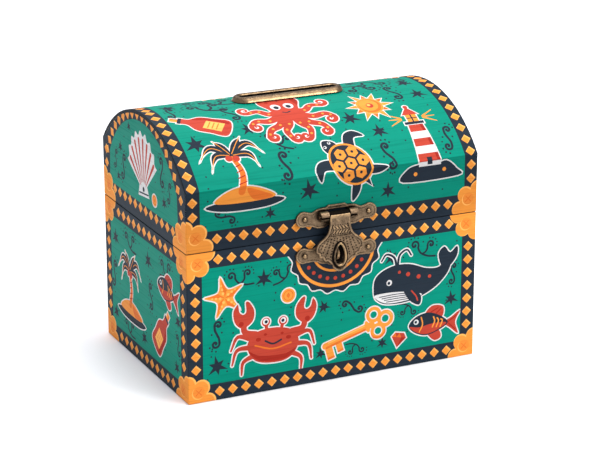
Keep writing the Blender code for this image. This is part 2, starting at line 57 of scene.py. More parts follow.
Loop = np.ndarray
Point = tuple[float, float]
Outline = Loop | Sequence[Point]
Spot = tuple[float, float, float]
Wave = tuple[float, float, float]
Bend = Callable[[np.ndarray, np.ndarray], tuple[np.ndarray, np.ndarray]]


def linear(code: str) -> tuple[float, float, float, float]:
    """Turns an sRGB hex colour into linear light, with an alpha of one."""
    parts = [int(code[i:i + 2], 16) / 255 for i in (1, 3, 5)]
    return (*(c / 12.92 if c <= 0.04045 else ((c + 0.055) / 1.055) ** 2.4 for c in parts), 1.0)


class Ink(Enum):
    """The printer's inks, and the bare wood and painted edge that go with them."""

    GREEN = "#00866F"
    NAVY = "#232D37"
    # Near-black, for the line along the lid sheet's cut ends and the end boards' arch under them.
    SOOT = "#131A21"
    GOLD = "#EC933B"
    PALE = "#FFB45C"
    AMBER = "#DE6F2A"
    HONEY = "#E88836"
    RED = "#B74130"
    WINE = "#9E2A1E"
    WHITE = "#D9D7D3"
    WOOD = "#DCC39B"


@dataclass(frozen=True)
class Edge:
    """How one side of a board or plate is worked.

    Args:
        ease: Radius of its rounded arris.
        turn: How far the arris turns before the side begins, in degrees.
        inset: How much shorter the back is there, as at a mitre.
        ink: What covers the side.
    """

    ease: float = 0.45
    turn: float = 45.0
    inset: float = 0.0
    ink: Ink = Ink.WOOD

    @property
    def width(self) -> float:
        """How far the rounded arris reaches in from the side."""
        return self.ease * math.sin(math.radians(self.turn))

    @property
    def drop(self) -> float:
        """How far the rounded arris falls below the face."""
        return self.ease * (1 - math.cos(math.radians(self.turn)))


def area(loop: Loop) -> float:
    """Gives a loop's signed area, above zero if it runs anticlockwise."""
    after = np.roll(loop, -1, axis=0)
    return float(np.sum(loop[:, 0] * after[:, 1] - after[:, 0] * loop[:, 1]) / 2)


def anticlockwise(loop: Outline) -> Loop:
    """Gives an outline's points, in the order that runs anticlockwise."""
    loop = np.array(loop, float)
    return loop if area(loop) > 0 else loop[::-1]


def disc(u: float, v: float, across: float, up: float | None = None, turn: float = 0.0,
         steps: int = 26) -> Loop:
    """Draws a circle, or an ellipse with its radii across and up and its turn in degrees."""
    angle = np.linspace(0, 2 * math.pi, steps, endpoint=False)
    x, y = across * np.cos(angle), (across if up is None else up) * np.sin(angle)
    c, s = math.cos(math.radians(turn)), math.sin(math.radians(turn))
    return np.c_[u + c * x - s * y, v + s * x + c * y]


def curve(points: Outline, closed: bool = True, steps: int = 5) -> Loop:
    """Runs a smooth line through points.

    Args:
        points: The points, in order.
        closed: Whether the line comes back to its start.
        steps: Points from one given point to the next.

    Returns:
        The line's points.
    """
    p = np.array(points, float)
    ends = (p[-1:], p[:2]) if closed else (2 * p[:1] - p[1:2], 2 * p[-1:] - p[-2:-1])
    p = np.concatenate([ends[0], p, ends[1]])
    t = np.linspace(0, 1, steps, endpoint=False)[:, None]
    parts = []
    for a, b, c, d in zip(p, p[1:], p[2:], p[3:]):
        parts.append(0.5 * (2 * b + (c - a) * t + (2 * a - 5 * b + 4 * c - d) * t ** 2
                            + (3 * b - a - 3 * c + d) * t ** 3))
    if not closed:
        parts.append(p[-2:-1])
    return np.concatenate(parts)


def ribbon(line: Outline, width: float, tip: float | None = None) -> Loop:
    """Gives a line a width, with round ends.

    Args:
        line: The line's points.
        width: Its width at the start.
        tip: Its width at the end, if it isn't the same.

    Returns:
        The outline of the stroke.
    """
    line = np.array(line, float)
    half = np.linspace(width, width if tip is None else tip, len(line))[:, None] / 2
    along = np.gradient(line, axis=0)
    along /= np.maximum(np.hypot(*along.T), 1e-9)[:, None]
    side = np.c_[-along[:, 1], along[:, 0]]
    caps = np.radians([60, 30, 0, -30, -60])[:, None]
    end = line[-1] + half[-1] * (along[-1] * np.cos(caps) + side[-1] * np.sin(caps))
    start = line[0] - half[0] * (along[0] * np.cos(caps) + side[0] * np.sin(caps))
    return np.concatenate([line + half * side, end, (line - half * side)[::-1], start])


def grown(loop: Loop, by: float, tip: float = 1.7) -> Loop:
    """Moves an outline outwards.

    Args:
        loop: The outline, anticlockwise.
        by: How far, or below zero to move it inwards.
        tip: How many times that far a sharp corner may move.

    Returns:
        The moved outline, with its sharp tips cut short.
    """
    keep = np.hypot(*(loop - np.roll(loop, 1, axis=0)).T) > 1e-4
    loop = loop[keep]
    before, after = loop - np.roll(loop, 1, axis=0), np.roll(loop, -1, axis=0) - loop
    before /= np.hypot(*before.T)[:, None]
    after /= np.hypot(*after.T)[:, None]
    normals = np.c_[before[:, 1] + after[:, 1], -before[:, 0] - after[:, 0]]
    length = np.maximum(np.hypot(*normals.T), 0.5)[:, None]
    return loop + normals / length * np.minimum(2 / length, tip) * by


def box(u0: float, v0: float, u1: float, v1: float) -> Loop:
    """Draws a rectangle between two corners."""
    return np.array([(u0, v0), (u1, v0), (u1, v1), (u0, v1)], float)


def spiral(u: float, v: float, size: float, turns: float, start: float) -> Loop:
    """Winds a line inwards round a point, clockwise where the turns are below zero."""
    share = np.linspace(0, 1, int(14 * abs(turns)) + 2)
    angle = math.radians(start) + share * turns * 2 * math.pi
    radius = size * (1 - share) ** 0.8 + 0.12 * size * share
    return np.c_[u + radius * np.cos(angle), v + radius * np.sin(angle)]


@dataclass
class Artwork:
    """Shapes of ink in a board's millimetres. The last one drawn lies on top.

    Args:
        shapes: Each shape's ink and outline, and whether it is part of the motif's outer form.
    """

    shapes: list[tuple[Ink, Loop, bool]] = field(default_factory=list)

    def add(self, ink: Ink, *loops: Outline, outer: bool = True) -> "Artwork":
        """Adds shapes of one ink, as part of the motif's outer form or not."""
        self.shapes += [(ink, anticlockwise(loop), outer) for loop in loops]
        return self

    def mark(self, ink: Ink, *loops: Outline) -> "Artwork":
        """Adds shapes that lie inside the motif's outer form."""
        return self.add(ink, *loops, outer=False)

    def line(self, ink: Ink, points: Sequence[Point], width: float, tip: float | None = None,
             outer: bool = False) -> "Artwork":
        """Adds a smooth stroke through points, with its width at the start and at the tip."""
        return self.add(ink, ribbon(curve(points, closed=False), width, tip), outer=outer)

    def place(self, motif: "Artwork", u: float, v: float, scale: float = 1.0, turn: float = 0.0,
              mirror: bool = False, key: float = 0.55) -> None:
        """Prints a motif at a place, with a white line round its outer form.

        Args:
            motif: The motif, about its own origin.
            u: Place along the board.
            v: Place up the board.
            scale: Its size.
            turn: Its turn in degrees.
            mirror: Whether it is flipped left to right.
            key: Width of the white line, or zero for none.
        """
        c, s = math.cos(math.radians(turn)), math.sin(math.radians(turn))
        moved = []
        for ink, loop, outer in motif.shapes:
            x, y = loop[:, 0] * scale * (-1 if mirror else 1), loop[:, 1] * scale
            moved.append((ink, np.c_[u + c * x - s * y, v + s * x + c * y], outer))
        for _, loop, outer in moved:
            if key > 0 and outer:
                self.add(Ink.WHITE, grown(anticlockwise(loop), key))
        for ink, loop, outer in moved:
            self.add(ink, loop, outer=outer)

    def turned(self, u: float, v: float) -> "Artwork":
        """Gives this artwork turned half round about a point."""
        return Artwork([(ink, np.c_[2 * u - loop[:, 0], 2 * v - loop[:, 1]], outer)
                        for ink, loop, outer in self.shapes])


def inside(loop: Loop, points: np.ndarray) -> np.ndarray:
    """Tells which points an outline winds round.

    Args:
        loop: The outline.
        points: The points.

    Returns:
        One truth value for each point.
    """
    found = np.zeros(len(points), bool)
    low, high = loop.min(axis=0), loop.max(axis=0)
    near = np.flatnonzero(np.all((points > low) & (points < high), axis=1))
    x, y = points[near, 0][:, None], points[near, 1][:, None]
    (x0, y0), (x1, y1) = loop.T, np.roll(loop, -1, axis=0).T
    side = (x1 - x0) * (y - y0) - (x - x0) * (y1 - y0)
    winding = ((y0 <= y) & (y1 > y) & (side > 0)).sum(axis=1) - (
        (y0 > y) & (y1 <= y) & (side < 0)).sum(axis=1)
    found[near] = winding != 0
    return found


@dataclass
class Blank:
    """A closed sheet of wood or metal, flat or bent, with a worked outline and a printed face.

    Args:
        outline: Corners in order, anticlockwise seen from outside, each with the edge after it.
        thickness: Thickness of the sheet.
        art: What is printed on its face.
        holes: Loops cut through it, clockwise, each with its edge.
        creases: Lines that the mesh keeps, so that the sheet can bend there.
        grid: Spacing of extra points on the face, or zero for none.
        relief: Height of the pressed face at given points.
        bend: Turns flat points and normals into the bent sheet's.
        ground: Ink that the face has where nothing is printed.
    """

    outline: list[tuple[float, float, Edge]]
    thickness: float
    art: Artwork = field(default_factory=Artwork)
    holes: list[tuple[Loop, Edge]] = field(default_factory=list)
    creases: list[tuple[Point, Point]] = field(default_factory=list)
    grid: float = 0.0
    relief: Callable[[np.ndarray], np.ndarray] | None = None
    bend: Bend | None = None
    ground: Ink = Ink.GREEN

    @property
    def corners(self) -> Loop:
        """The outline's points."""
        return np.array([(u, v) for u, v, _ in self.outline], float)

    def sides(self) -> tuple[np.ndarray, np.ndarray, list[Edge]]:
        """Lists every side's start, end and edge."""
        starts, ends = [self.corners], [np.roll(self.corners, -1, axis=0)]
        edges = [edge for _, _, edge in self.outline]
        for loop, edge in self.holes:
            starts.append(loop)
            ends.append(np.roll(loop, -1, axis=0))
            edges += [edge] * len(loop)
        return np.concatenate(starts), np.concatenate(ends), edges

    def nearest(self, points: np.ndarray) -> tuple[np.ndarray, np.ndarray, np.ndarray]:
        """Finds each point's nearest side.

        Args:
            points: The points.

        Returns:
            The distance, the side's index and the direction away from the sheet there.
        """
        starts, ends, _ = self.sides()
        along = ends - starts
        length = np.hypot(*along.T)
        unit = along / length[:, None]
        away = np.c_[unit[:, 1], -unit[:, 0]]
        rest = points[:, None, :] - starts[None]
        reach = np.clip((rest * unit).sum(axis=2), 0, length)
        gap = rest - reach[..., None] * unit
        distance = np.hypot(gap[..., 0], gap[..., 1])
        index = distance.argmin(axis=1)
        every = np.arange(len(points))
        found = distance[every, index]
        direction = -gap[every, index] / np.maximum(found, 1e-9)[:, None]
        close = found < ON_EDGE
        direction[close] = away[index[close]]
        return found, index, direction

    def split(self, loops: Iterable[Loop], extra: np.ndarray) -> tuple[np.ndarray, np.ndarray]:
        """Cuts the sheet into triangles that keep every line.

        Args:
            loops: Closed outlines to keep.
            extra: Extra points.

        Returns:
            The points, and the triangles that lie inside the outline.
        """
        points, edges = [], []
        for loop in loops:
            first = len(points)
            points += [Vector(p) for p in loop]
            edges += [(first + i, first + (i + 1) % len(loop)) for i in range(len(loop))]
        for line in self.creases:
            edges.append((len(points), len(points) + 1))
            points += [Vector(p) for p in line]
        points += [Vector(p) for p in extra]
        found, _, faces = geometry.delaunay_2d_cdt(points, edges, [], 0, CDT_TOLERANCE)[:3]
        flat = np.array([tuple(p) for p in found])
        triangles = np.array([tuple(f) for f in faces])
        middle = flat[triangles].mean(axis=1)
        kept = inside(self.corners, middle)
        for loop, _ in self.holes:
            kept &= ~inside(loop, middle)
        a, b, c = (flat[triangles[:, i]] for i in range(3))
        size = (b - a)[:, 0] * (c - a)[:, 1] - (b - a)[:, 1] * (c - a)[:, 0]
        triangles[size < 0] = triangles[size < 0][:, ::-1]
        used, triangles = np.unique(triangles[kept], return_inverse=True)
        return flat[used], triangles.reshape(-1, 3)

    def face(self) -> tuple[np.ndarray, np.ndarray, np.ndarray, list[Ink]]:
        """Cuts, prints, eases and presses the sheet's face.

        Returns:
            Its points, its triangles, a normal for each point and an ink for each triangle.
        """
        _, _, edges = self.sides()
        ease = np.array([e.ease for e in edges])
        width = np.array([e.width for e in edges])
        corners = self.corners
        rings = [corners] + [loop for loop, _ in self.holes]
        for share in (0.3, 0.65, 1.0):
            rings.append(self.worked(corners, width * share))
            rings += [self.worked(loop, np.array([edge.width * share]))
                      for loop, edge in self.holes]
        extra = np.zeros((0, 2))
        if self.grid:
            low, high = corners.min(axis=0), corners.max(axis=0)
            us = np.arange(low[0], high[0], self.grid)
            vs = np.arange(low[1], high[1], self.grid * 0.866)
            extra = np.concatenate([np.c_[us + (n % 2) * self.grid / 2, np.full(len(us), v)]
                                    for n, v in enumerate(vs)])
            distance, index, _ = self.nearest(extra)
            extra = extra[distance > width[index] + self.grid * 0.35]
        flat, faces = self.split(rings + [loop for _, loop, _ in self.art.shapes], extra)
        distance, index, direction = self.nearest(flat)
        lean = np.maximum(width[index] - distance, 0)
        angle = np.arcsin(np.clip(lean / np.maximum(ease[index], 1e-9), 0, 1))
        height = -ease[index] * (1 - np.cos(angle))
        normals = np.c_[direction * np.sin(angle)[:, None], np.cos(angle)]
        if self.relief is not None:
            height = height + self.relief(flat)
            for axis in (0, 1):
                step = np.eye(2)[axis] * 0.05
                rise = (self.relief(flat + step) - self.relief(flat - step)) / 0.1
                normals[:, axis] -= rise * normals[:, 2]
            normals /= np.linalg.norm(normals, axis=1)[:, None]
        return np.c_[flat, height], faces, normals, self.inks_of(flat[faces].mean(axis=1))

    def solid(self) -> "Solid":
        """Closes the face with its sides and its back.

        Returns:
            The finished solid, in the sheet's own frame.
        """
        points, faces, normals, inks = self.face()
        starts, ends, edges = self.sides()
        unit = ends - starts
        unit /= np.hypot(*unit.T)[:, None]
        away = np.c_[unit[:, 1], -unit[:, 0]]
        polygons = [tuple(f) for f in faces.tolist()]
        corner_normals = [normals[faces.ravel()]]
        rows, rings = [points], []
        count = len(points)
        for loop in boundary(faces):
            ring = points[loop, :2]
            _, side, _ = self.nearest((ring + np.roll(ring, -1, axis=0)) / 2)
            inset = np.array([edges[i].inset for i in side])
            n0, n1, i0 = away[np.roll(side, 1)], away[side], np.roll(inset, 1)
            rings.append(ring + meeting(n0, n1, -i0, -inset))
            rows.append(np.c_[rings[-1], np.full(len(ring), -self.thickness)])
            smooth = (n0 * n1).sum(axis=1) > math.cos(SMOOTH_BELOW)
            at_start = np.where(smooth[:, None], n0 + n1, n1)
            after = np.roll(np.arange(len(ring)), -1)
            at_end = np.where(smooth[after][:, None], n1 + n1[after], n1)
            lean = -(inset / self.thickness)[:, None]
            for i, j in enumerate(after):
                polygons.append((int(loop[j]), int(loop[i]), count + i, count + int(j)))
            four = []
            for n in (at_end, at_start, at_start, at_end):
                whole = np.c_[n / np.hypot(*n.T)[:, None], lean]
                four.append(whole / np.linalg.norm(whole, axis=1)[:, None])
            corner_normals.append(np.stack(four, axis=1).reshape(-1, 3))
            inks += [edges[i].ink for i in side]
            count += len(ring)
        flat, triangles = self.split_back(rings)
        known = np.concatenate([row[:, :2] for row in rows[1:]])
        gap = np.hypot(*(flat[:, None] - known[None]).transpose(2, 0, 1))
        names = gap.argmin(axis=1) + len(points)
        fresh = gap.min(axis=1) > ON_EDGE
        names[fresh] = count + np.arange(fresh.sum())
        rows.append(np.c_[flat[fresh], np.full(fresh.sum(), -self.thickness)])
        back = names[triangles[:, ::-1]]
        back = back[(back[:, 0] != back[:, 1]) & (back[:, 1] != back[:, 2])
                    & (back[:, 2] != back[:, 0])]
        polygons += [tuple(f) for f in back.tolist()]
        corner_normals.append(np.tile((0.0, 0.0, -1.0), (3 * len(back), 1)))
        inks += [Ink.WOOD] * len(back)
        rows = np.concatenate(rows)
        pressed = np.zeros(len(rows))
        if self.relief is not None:
            pressed[:len(points)] = self.relief(points[:, :2])
        made = Solid(rows, polygons, np.concatenate(corner_normals), inks, pressed)
        return made.bent(self.bend) if self.bend else made

    @staticmethod
    def worked(loop: Loop, width: np.ndarray) -> Loop:
        """Moves each side of a loop inwards by its own width.

        Args:
            loop: The loop, with the sheet on its left.
            width: One width for each side, or a single one for all.

        Returns:
            The moved loop.
        """
        width = np.resize(width, len(loop))
        unit = np.roll(loop, -1, axis=0) - loop
        unit /= np.hypot(*unit.T)[:, None]
        away = np.c_[unit[:, 1], -unit[:, 0]]
        return loop + meeting(np.roll(away, 1, axis=0), away, -np.roll(width, 1), -width)

    def inks_of(self, middles: np.ndarray) -> list[Ink]:
        """Finds the ink on top at each point."""
        order = list(Ink)
        top = np.full(len(middles), order.index(self.ground))
        for ink, loop, _ in self.art.shapes:
            top[inside(loop, middles)] = order.index(ink)
        return [order[i] for i in top]

    def split_back(self, loops: list[Loop]) -> tuple[np.ndarray, np.ndarray]:
        """Cuts the sheet's back into triangles, between the rings round it."""
        outer = max(loops, key=area)
        holes = [(loop, Edge()) for loop in loops if loop is not outer]
        back = Blank([(u, v, Edge()) for u, v in outer], 1.0, holes=holes, creases=self.creases)
        return back.split([outer] + [loop for loop, _ in holes], np.zeros((0, 2)))


def meeting(n0: np.ndarray, n1: np.ndarray, a: np.ndarray, b: np.ndarray) -> np.ndarray:
    """Works out how corners move when the sides beside them do.

    Args:
        n0: Direction of each side before a corner.
        n1: Direction of each side after it.
        a: How far the side before moves along its direction.
        b: How far the side after moves along its direction.

    Returns:
        Each corner's move.
    """
    cross = n0[:, 0] * n1[:, 1] - n0[:, 1] * n1[:, 0]
    move = (n0 + n1) / 2 * ((a + b) / 2)[:, None]
    bent = np.abs(cross) > 0.05
    both = np.c_[a * n1[:, 1] - b * n0[:, 1], b * n0[:, 0] - a * n1[:, 0]]
    move[bent] = both[bent] / cross[bent][:, None]
    return move


@dataclass
class Solid:
    """A closed mesh in millimetres, before it becomes an object.

    Args:
        points: Its points.
        polygons: Its faces.
        normals: A normal for each corner of each face.
        inks: An ink for each face.
        pressed: How far each point was pressed out of its sheet, or a value set in its place, which sets
            how rubbed or dark the metal is; on some parts it paints shade and highlights.
    """

    points: np.ndarray
    polygons: list[tuple[int, ...]]
    normals: np.ndarray
    inks: list[Ink]
    pressed: np.ndarray

    def bent(self, bend: Bend) -> "Solid":
        """Gives the solid with its points and normals bent."""
        corners = np.array([i for f in self.polygons for i in f])
        _, normals = bend(self.points[corners], self.normals)
        points, _ = bend(self.points, np.zeros_like(self.points))
        return replace(self, points=points, normals=normals)

    def moved(self, place: Matrix) -> "Solid":
        """Gives the solid at a place, in millimetres."""
        turn, shift = np.array(place)[:3, :3], np.array(place)[:3, 3]
        return replace(self, points=self.points @ turn.T + shift, normals=self.normals @ turn.T)

    def __add__(self, other: "Solid") -> "Solid":
        """Puts two solids in one mesh."""
        first = len(self.points)
        return Solid(np.concatenate([self.points, other.points]),
                     self.polygons + [tuple(i + first for i in f) for f in other.polygons],
                     np.concatenate([self.normals, other.normals]), self.inks + other.inks,
                     np.concatenate([self.pressed, other.pressed]))

    def piece(self, name: str, body: str, slot: str, finish: "Finish", replaced: Sequence[str],
              place: Matrix | None = None) -> bpy.types.Object:
        """Makes the piece and hands it to the frame.

        Args:
            name: Its name.
            body: The CAD body that it rides on.
            slot: The record's material slot, which is not used.
            finish: Gives the materials.
            replaced: CAD nodes that it stands for.
            place: Where its own frame is.

        Returns:
            The piece.
        """
        mesh = bpy.data.meshes.new(name)
        mesh.from_pydata((self.points * MM).tolist(), [], self.polygons)
        used = []
        for ink in sorted(set(self.inks), key=list(Ink).index):
            if finish.material(ink) not in used:
                used.append(finish.material(ink))
        for material in used:
            mesh.materials.append(material)
        index = {ink: used.index(finish.material(ink)) for ink in set(self.inks)}
        mesh.polygons.foreach_set("material_index", [index[ink] for ink in self.inks])
        mesh.polygons.foreach_set("use_smooth", [True] * len(self.polygons))
        mesh.normals_split_custom_set(self.normals.tolist())
        if self.pressed.any():
            height = mesh.attributes.new("pressed", "FLOAT", "POINT")
            height.data.foreach_set("value", self.pressed)
        item = bpy.data.objects.new(name, mesh)
        if place is not None:
            place = place.copy()
            place.translation *= MM
            item.matrix_world = place
        bpy.context.scene.collection.objects.link(item)
        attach(item, body)
        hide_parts(*replaced)
        LOG.info("%s rides on %s: %d faces", name, body, len(self.polygons))
        return item


def skin(grid: np.ndarray, closed: tuple[bool, bool]) -> Solid:
    """Covers a grid of points with quads, and closes its open ends.

    Args:
        grid: Points in rows. Seen from outside, rows run anticlockwise before columns.
        closed: Whether the rows join up, and whether the points of a row do.

    Returns:
        The solid, smooth but for its sharp edges.
    """
    high, wide = grid.shape[:2]
    name = np.arange(high * wide).reshape(high, wide)
    polygons = []
    for i in range(high if closed[0] else high - 1):
        for j in range(wide if closed[1] else wide - 1):
            i2, j2 = (i + 1) % high, (j + 1) % wide
            quad = name[i, j], name[i, j2], name[i2, j2], name[i2, j]
            polygons.append(tuple(int(n) for n in quad))
    if not closed[0]:
        polygons += [tuple(name[0, ::-1].tolist()), tuple(name[-1].tolist())]
    return shaded(grid.reshape(-1, 3), polygons)


def shaded(points: np.ndarray, polygons: list[tuple[int, ...]]) -> Solid:
    """Makes a solid whose normals are smooth but for its sharp edges.

    Args:
        points: Its points.
        polygons: Its faces.

    Returns:
        The solid.
    """
    rings = [points[list(f)] for f in polygons]
    flat = np.array([np.cross(r, np.roll(r, -1, axis=0)).sum(axis=0) for r in rings])
    unit = flat / np.maximum(np.linalg.norm(flat, axis=1), 1e-12)[:, None]
    around = [[] for _ in points]
    for n, f in enumerate(polygons):
        for i in f:
            around[i].append(n)
    normals = []
    for n, f in enumerate(polygons):
        for i in f:
            near = [m for m in around[i] if unit[m] @ unit[n] > math.cos(SMOOTH_BELOW)]
            total = flat[near].sum(axis=0) if near else flat[n]
            normals.append(total / max(np.linalg.norm(total), 1e-12))
    return Solid(points, polygons, np.array(normals), [Ink.WOOD] * len(polygons),
                 np.zeros(len(points)))


def lathe(profile: Sequence[Point], steps: int = 28) -> Solid:
    """Turns a profile of radii and heights, from the foot up, about the upright axis."""
    angle = np.linspace(0, 2 * math.pi, steps, endpoint=False)
    rows = [np.c_[max(r, 0.01) * np.cos(angle), max(r, 0.01) * np.sin(angle), np.full(steps, z)]
            for r, z in profile]
    return skin(np.array(rows), (False, True))


def boundary(faces: np.ndarray) -> list[np.ndarray]:
    """Finds the rings of edges that only one triangle uses.

    Args:
        faces: The triangles.

    Returns:
        Each ring's points, with the faces on its left.
    """
    edges = np.concatenate([faces[:, [0, 1]], faces[:, [1, 2]], faces[:, [2, 0]]])
    there = set(map(tuple, edges.tolist()))
    after = {a: b for a, b in there if (b, a) not in there}
    rings = []
    while after:
        start, at = next(iter(after.items()))
        ring = [start]
        del after[start]
        while at != start:
            ring.append(at)
            at = after.pop(at)
        rings.append(np.array(ring))
    return rings


def feed(tree: bpy.types.NodeTree, item: bpy.types.Node, inputs: dict[str | int, object]) -> None:
    """Sets a node's inputs, each by its name or number, to a value or links a socket there."""
    for key, value in inputs.items():
        if isinstance(value, bpy.types.NodeSocket):
            tree.links.new(value, item.inputs[key])
        else:
            item.inputs[key].default_value = value


def add_node(tree: bpy.types.NodeTree, kind: str, inputs: dict[str | int, object] | None = None,
             **settings: object) -> bpy.types.Node:
    """Adds a node with its settings, values and links.

    Args:
        tree: The material's nodes.
        kind: The node's type, without the word ShaderNode that Blender puts before it.
        inputs: A value, or a socket to link, for each input's name or number.
        **settings: Properties of the node.

    Returns:
        The node.
    """
    item = tree.nodes.new("ShaderNode" + kind)
    for key, value in settings.items():
        setattr(item, key, value)
    feed(tree, item, inputs or {})
    return item


def new_material(name: str) -> tuple[bpy.types.Material, bpy.types.NodeTree, bpy.types.Node]:
    """Starts a material, and gives its nodes and its Principled shader with it."""
    material = bpy.data.materials.new(name)
    material.use_nodes = True
    tree = material.node_tree
    return material, tree, tree.nodes["Principled BSDF"]


def shade(ink: Ink, factor: float) -> tuple[float, float, float, float]:
    """Gives an ink's colour in linear light, made darker or lighter."""
    return (*(min(1.0, c * factor) for c in linear(ink.value)[:3]), 1.0)


class Finish:
    """A surface of the real object. Each of its materials is made once and shared."""

    def material(self, ink: Ink) -> bpy.types.Material:
        """Gives the shared material for an ink, which only a printed finish heeds."""
        name = self.name_for(ink)
        return bpy.data.materials.get(name) or self.make(name, ink)

    def name_for(self, ink: Ink) -> str:
        """Names the material for an ink."""
        return type(self).__name__

    def make(self, name: str, ink: Ink) -> bpy.types.Material:
        """Makes the material."""
        raise NotImplementedError


@dataclass(frozen=True)
class PrintedPlywood(Finish):
    """Screen ink under matt lacquer on sanded birch plywood.

    To the eye it is flat poster colour, with the wood's fine long fibres showing through as
    slightly darker lines, and a soft sheen that turns milky at a shallow angle.

    Args:
        fibre: Width of a fibre line in millimetres. Real ones are half as wide, which the render
            can't show.
        length: How many times longer than wide a line is.
        depth: How dark the lines are.
        cloud: How dark the broad clouds between them are.
        veneer: Thickness of two plies in millimetres, which show where the wood is bare.
        gloss: Roughness of the lacquer.
        shine: Strength of the lacquer's reflection, which is thin and matt.
        painted_light: How light the print is made; below one, it is darkened as painted shade, for a board
            that takes less light than the others.
    """

    fibre: float = 0.8
    length: float = 40.0
    depth: float = 0.38
    cloud: float = 0.15
    veneer: float = 1.3
    gloss: float = 0.47
    shine: float = 0.045
    painted_light: float = 1.0

    def name_for(self, ink: Ink) -> str:
        """Names the material for an ink."""
        return "printed_plywood_%s_%d" % (ink.name.lower(), round(100 * self.painted_light))

    def make(self, name: str, ink: Ink) -> bpy.types.Material:
        """Makes the material for an ink."""
        material, tree, shader = new_material(name)
        bare = ink is Ink.WOOD
        place = add_node(tree, "TexCoord").outputs["Object"]
        along = add_node(tree, "Mapping", {
            "Vector": place, "Scale": (1 / self.length, 1, 1)}).outputs["Vector"]
        fibres = add_node(tree, "TexNoise", {
            "Vector": along, "Scale": 1 / (self.fibre * MM), "Detail": 3.0, "Roughness": 0.62})
        lines = add_node(tree, "MapRange", {
            "Value": fibres.outputs[0], "From Min": 0.5, "From Max": 0.72}).outputs[0]
        growth = add_node(tree, "TexNoise", {
            "Vector": along, "Scale": 1 / (7 * self.fibre * MM), "Detail": 2.0, "Distortion": 0.5})
        clouds = add_node(tree, "MapRange", {
            "Value": growth.outputs[0], "From Min": 0.35, "From Max": 0.7})
        soft = add_node(tree, "Math", {
            0: clouds.outputs[0], 1: self.cloud, 2: 0.0}, operation="MULTIPLY_ADD")
        total = add_node(tree, "Math", {
            0: lines, 1: self.depth * (1.6 if bare else 1.0), 2: soft.outputs[0]},
            operation="MULTIPLY_ADD")
        if bare:
            depth_of = add_node(tree, "SeparateXYZ", {"Vector": place})
            plies = add_node(tree, "Math", {
                0: depth_of.outputs["Z"], 1: self.veneer * MM}, operation="PINGPONG")
            glue = add_node(tree, "MapRange", {
                "Value": plies.outputs[0], "From Min": 0.9 * MM, "From Max": 1.2 * MM})
            total = add_node(tree, "Math", {
                0: glue.outputs[0], 1: 0.35, 2: total.outputs[0]}, operation="MULTIPLY_ADD")
        # Printed faces take the finish's painted shade, where it has any; bare wood keeps its colour.
        painted_light = 1.0 if bare else self.painted_light
        colour = add_node(tree, "Mix", {
            0: total.outputs[0], 6: shade(ink, 1.05 * painted_light), 7: shade(ink, 0.5 * painted_light)},
            data_type="RGBA")
        rough = add_node(tree, "MapRange", {
            "Value": lines, "To Min": self.gloss, "To Max": self.gloss + 0.12})
        bump = add_node(tree, "Bump", {
            "Height": lines, "Strength": 0.25, "Distance": 0.03 * MM}, invert=True)
        feed(tree, shader, {
            "Base Color": colour.outputs[2], "Roughness": rough.outputs[0],
            "Normal": bump.outputs[0], "IOR": 1.5, "Specular IOR Level": self.shine})
        return material


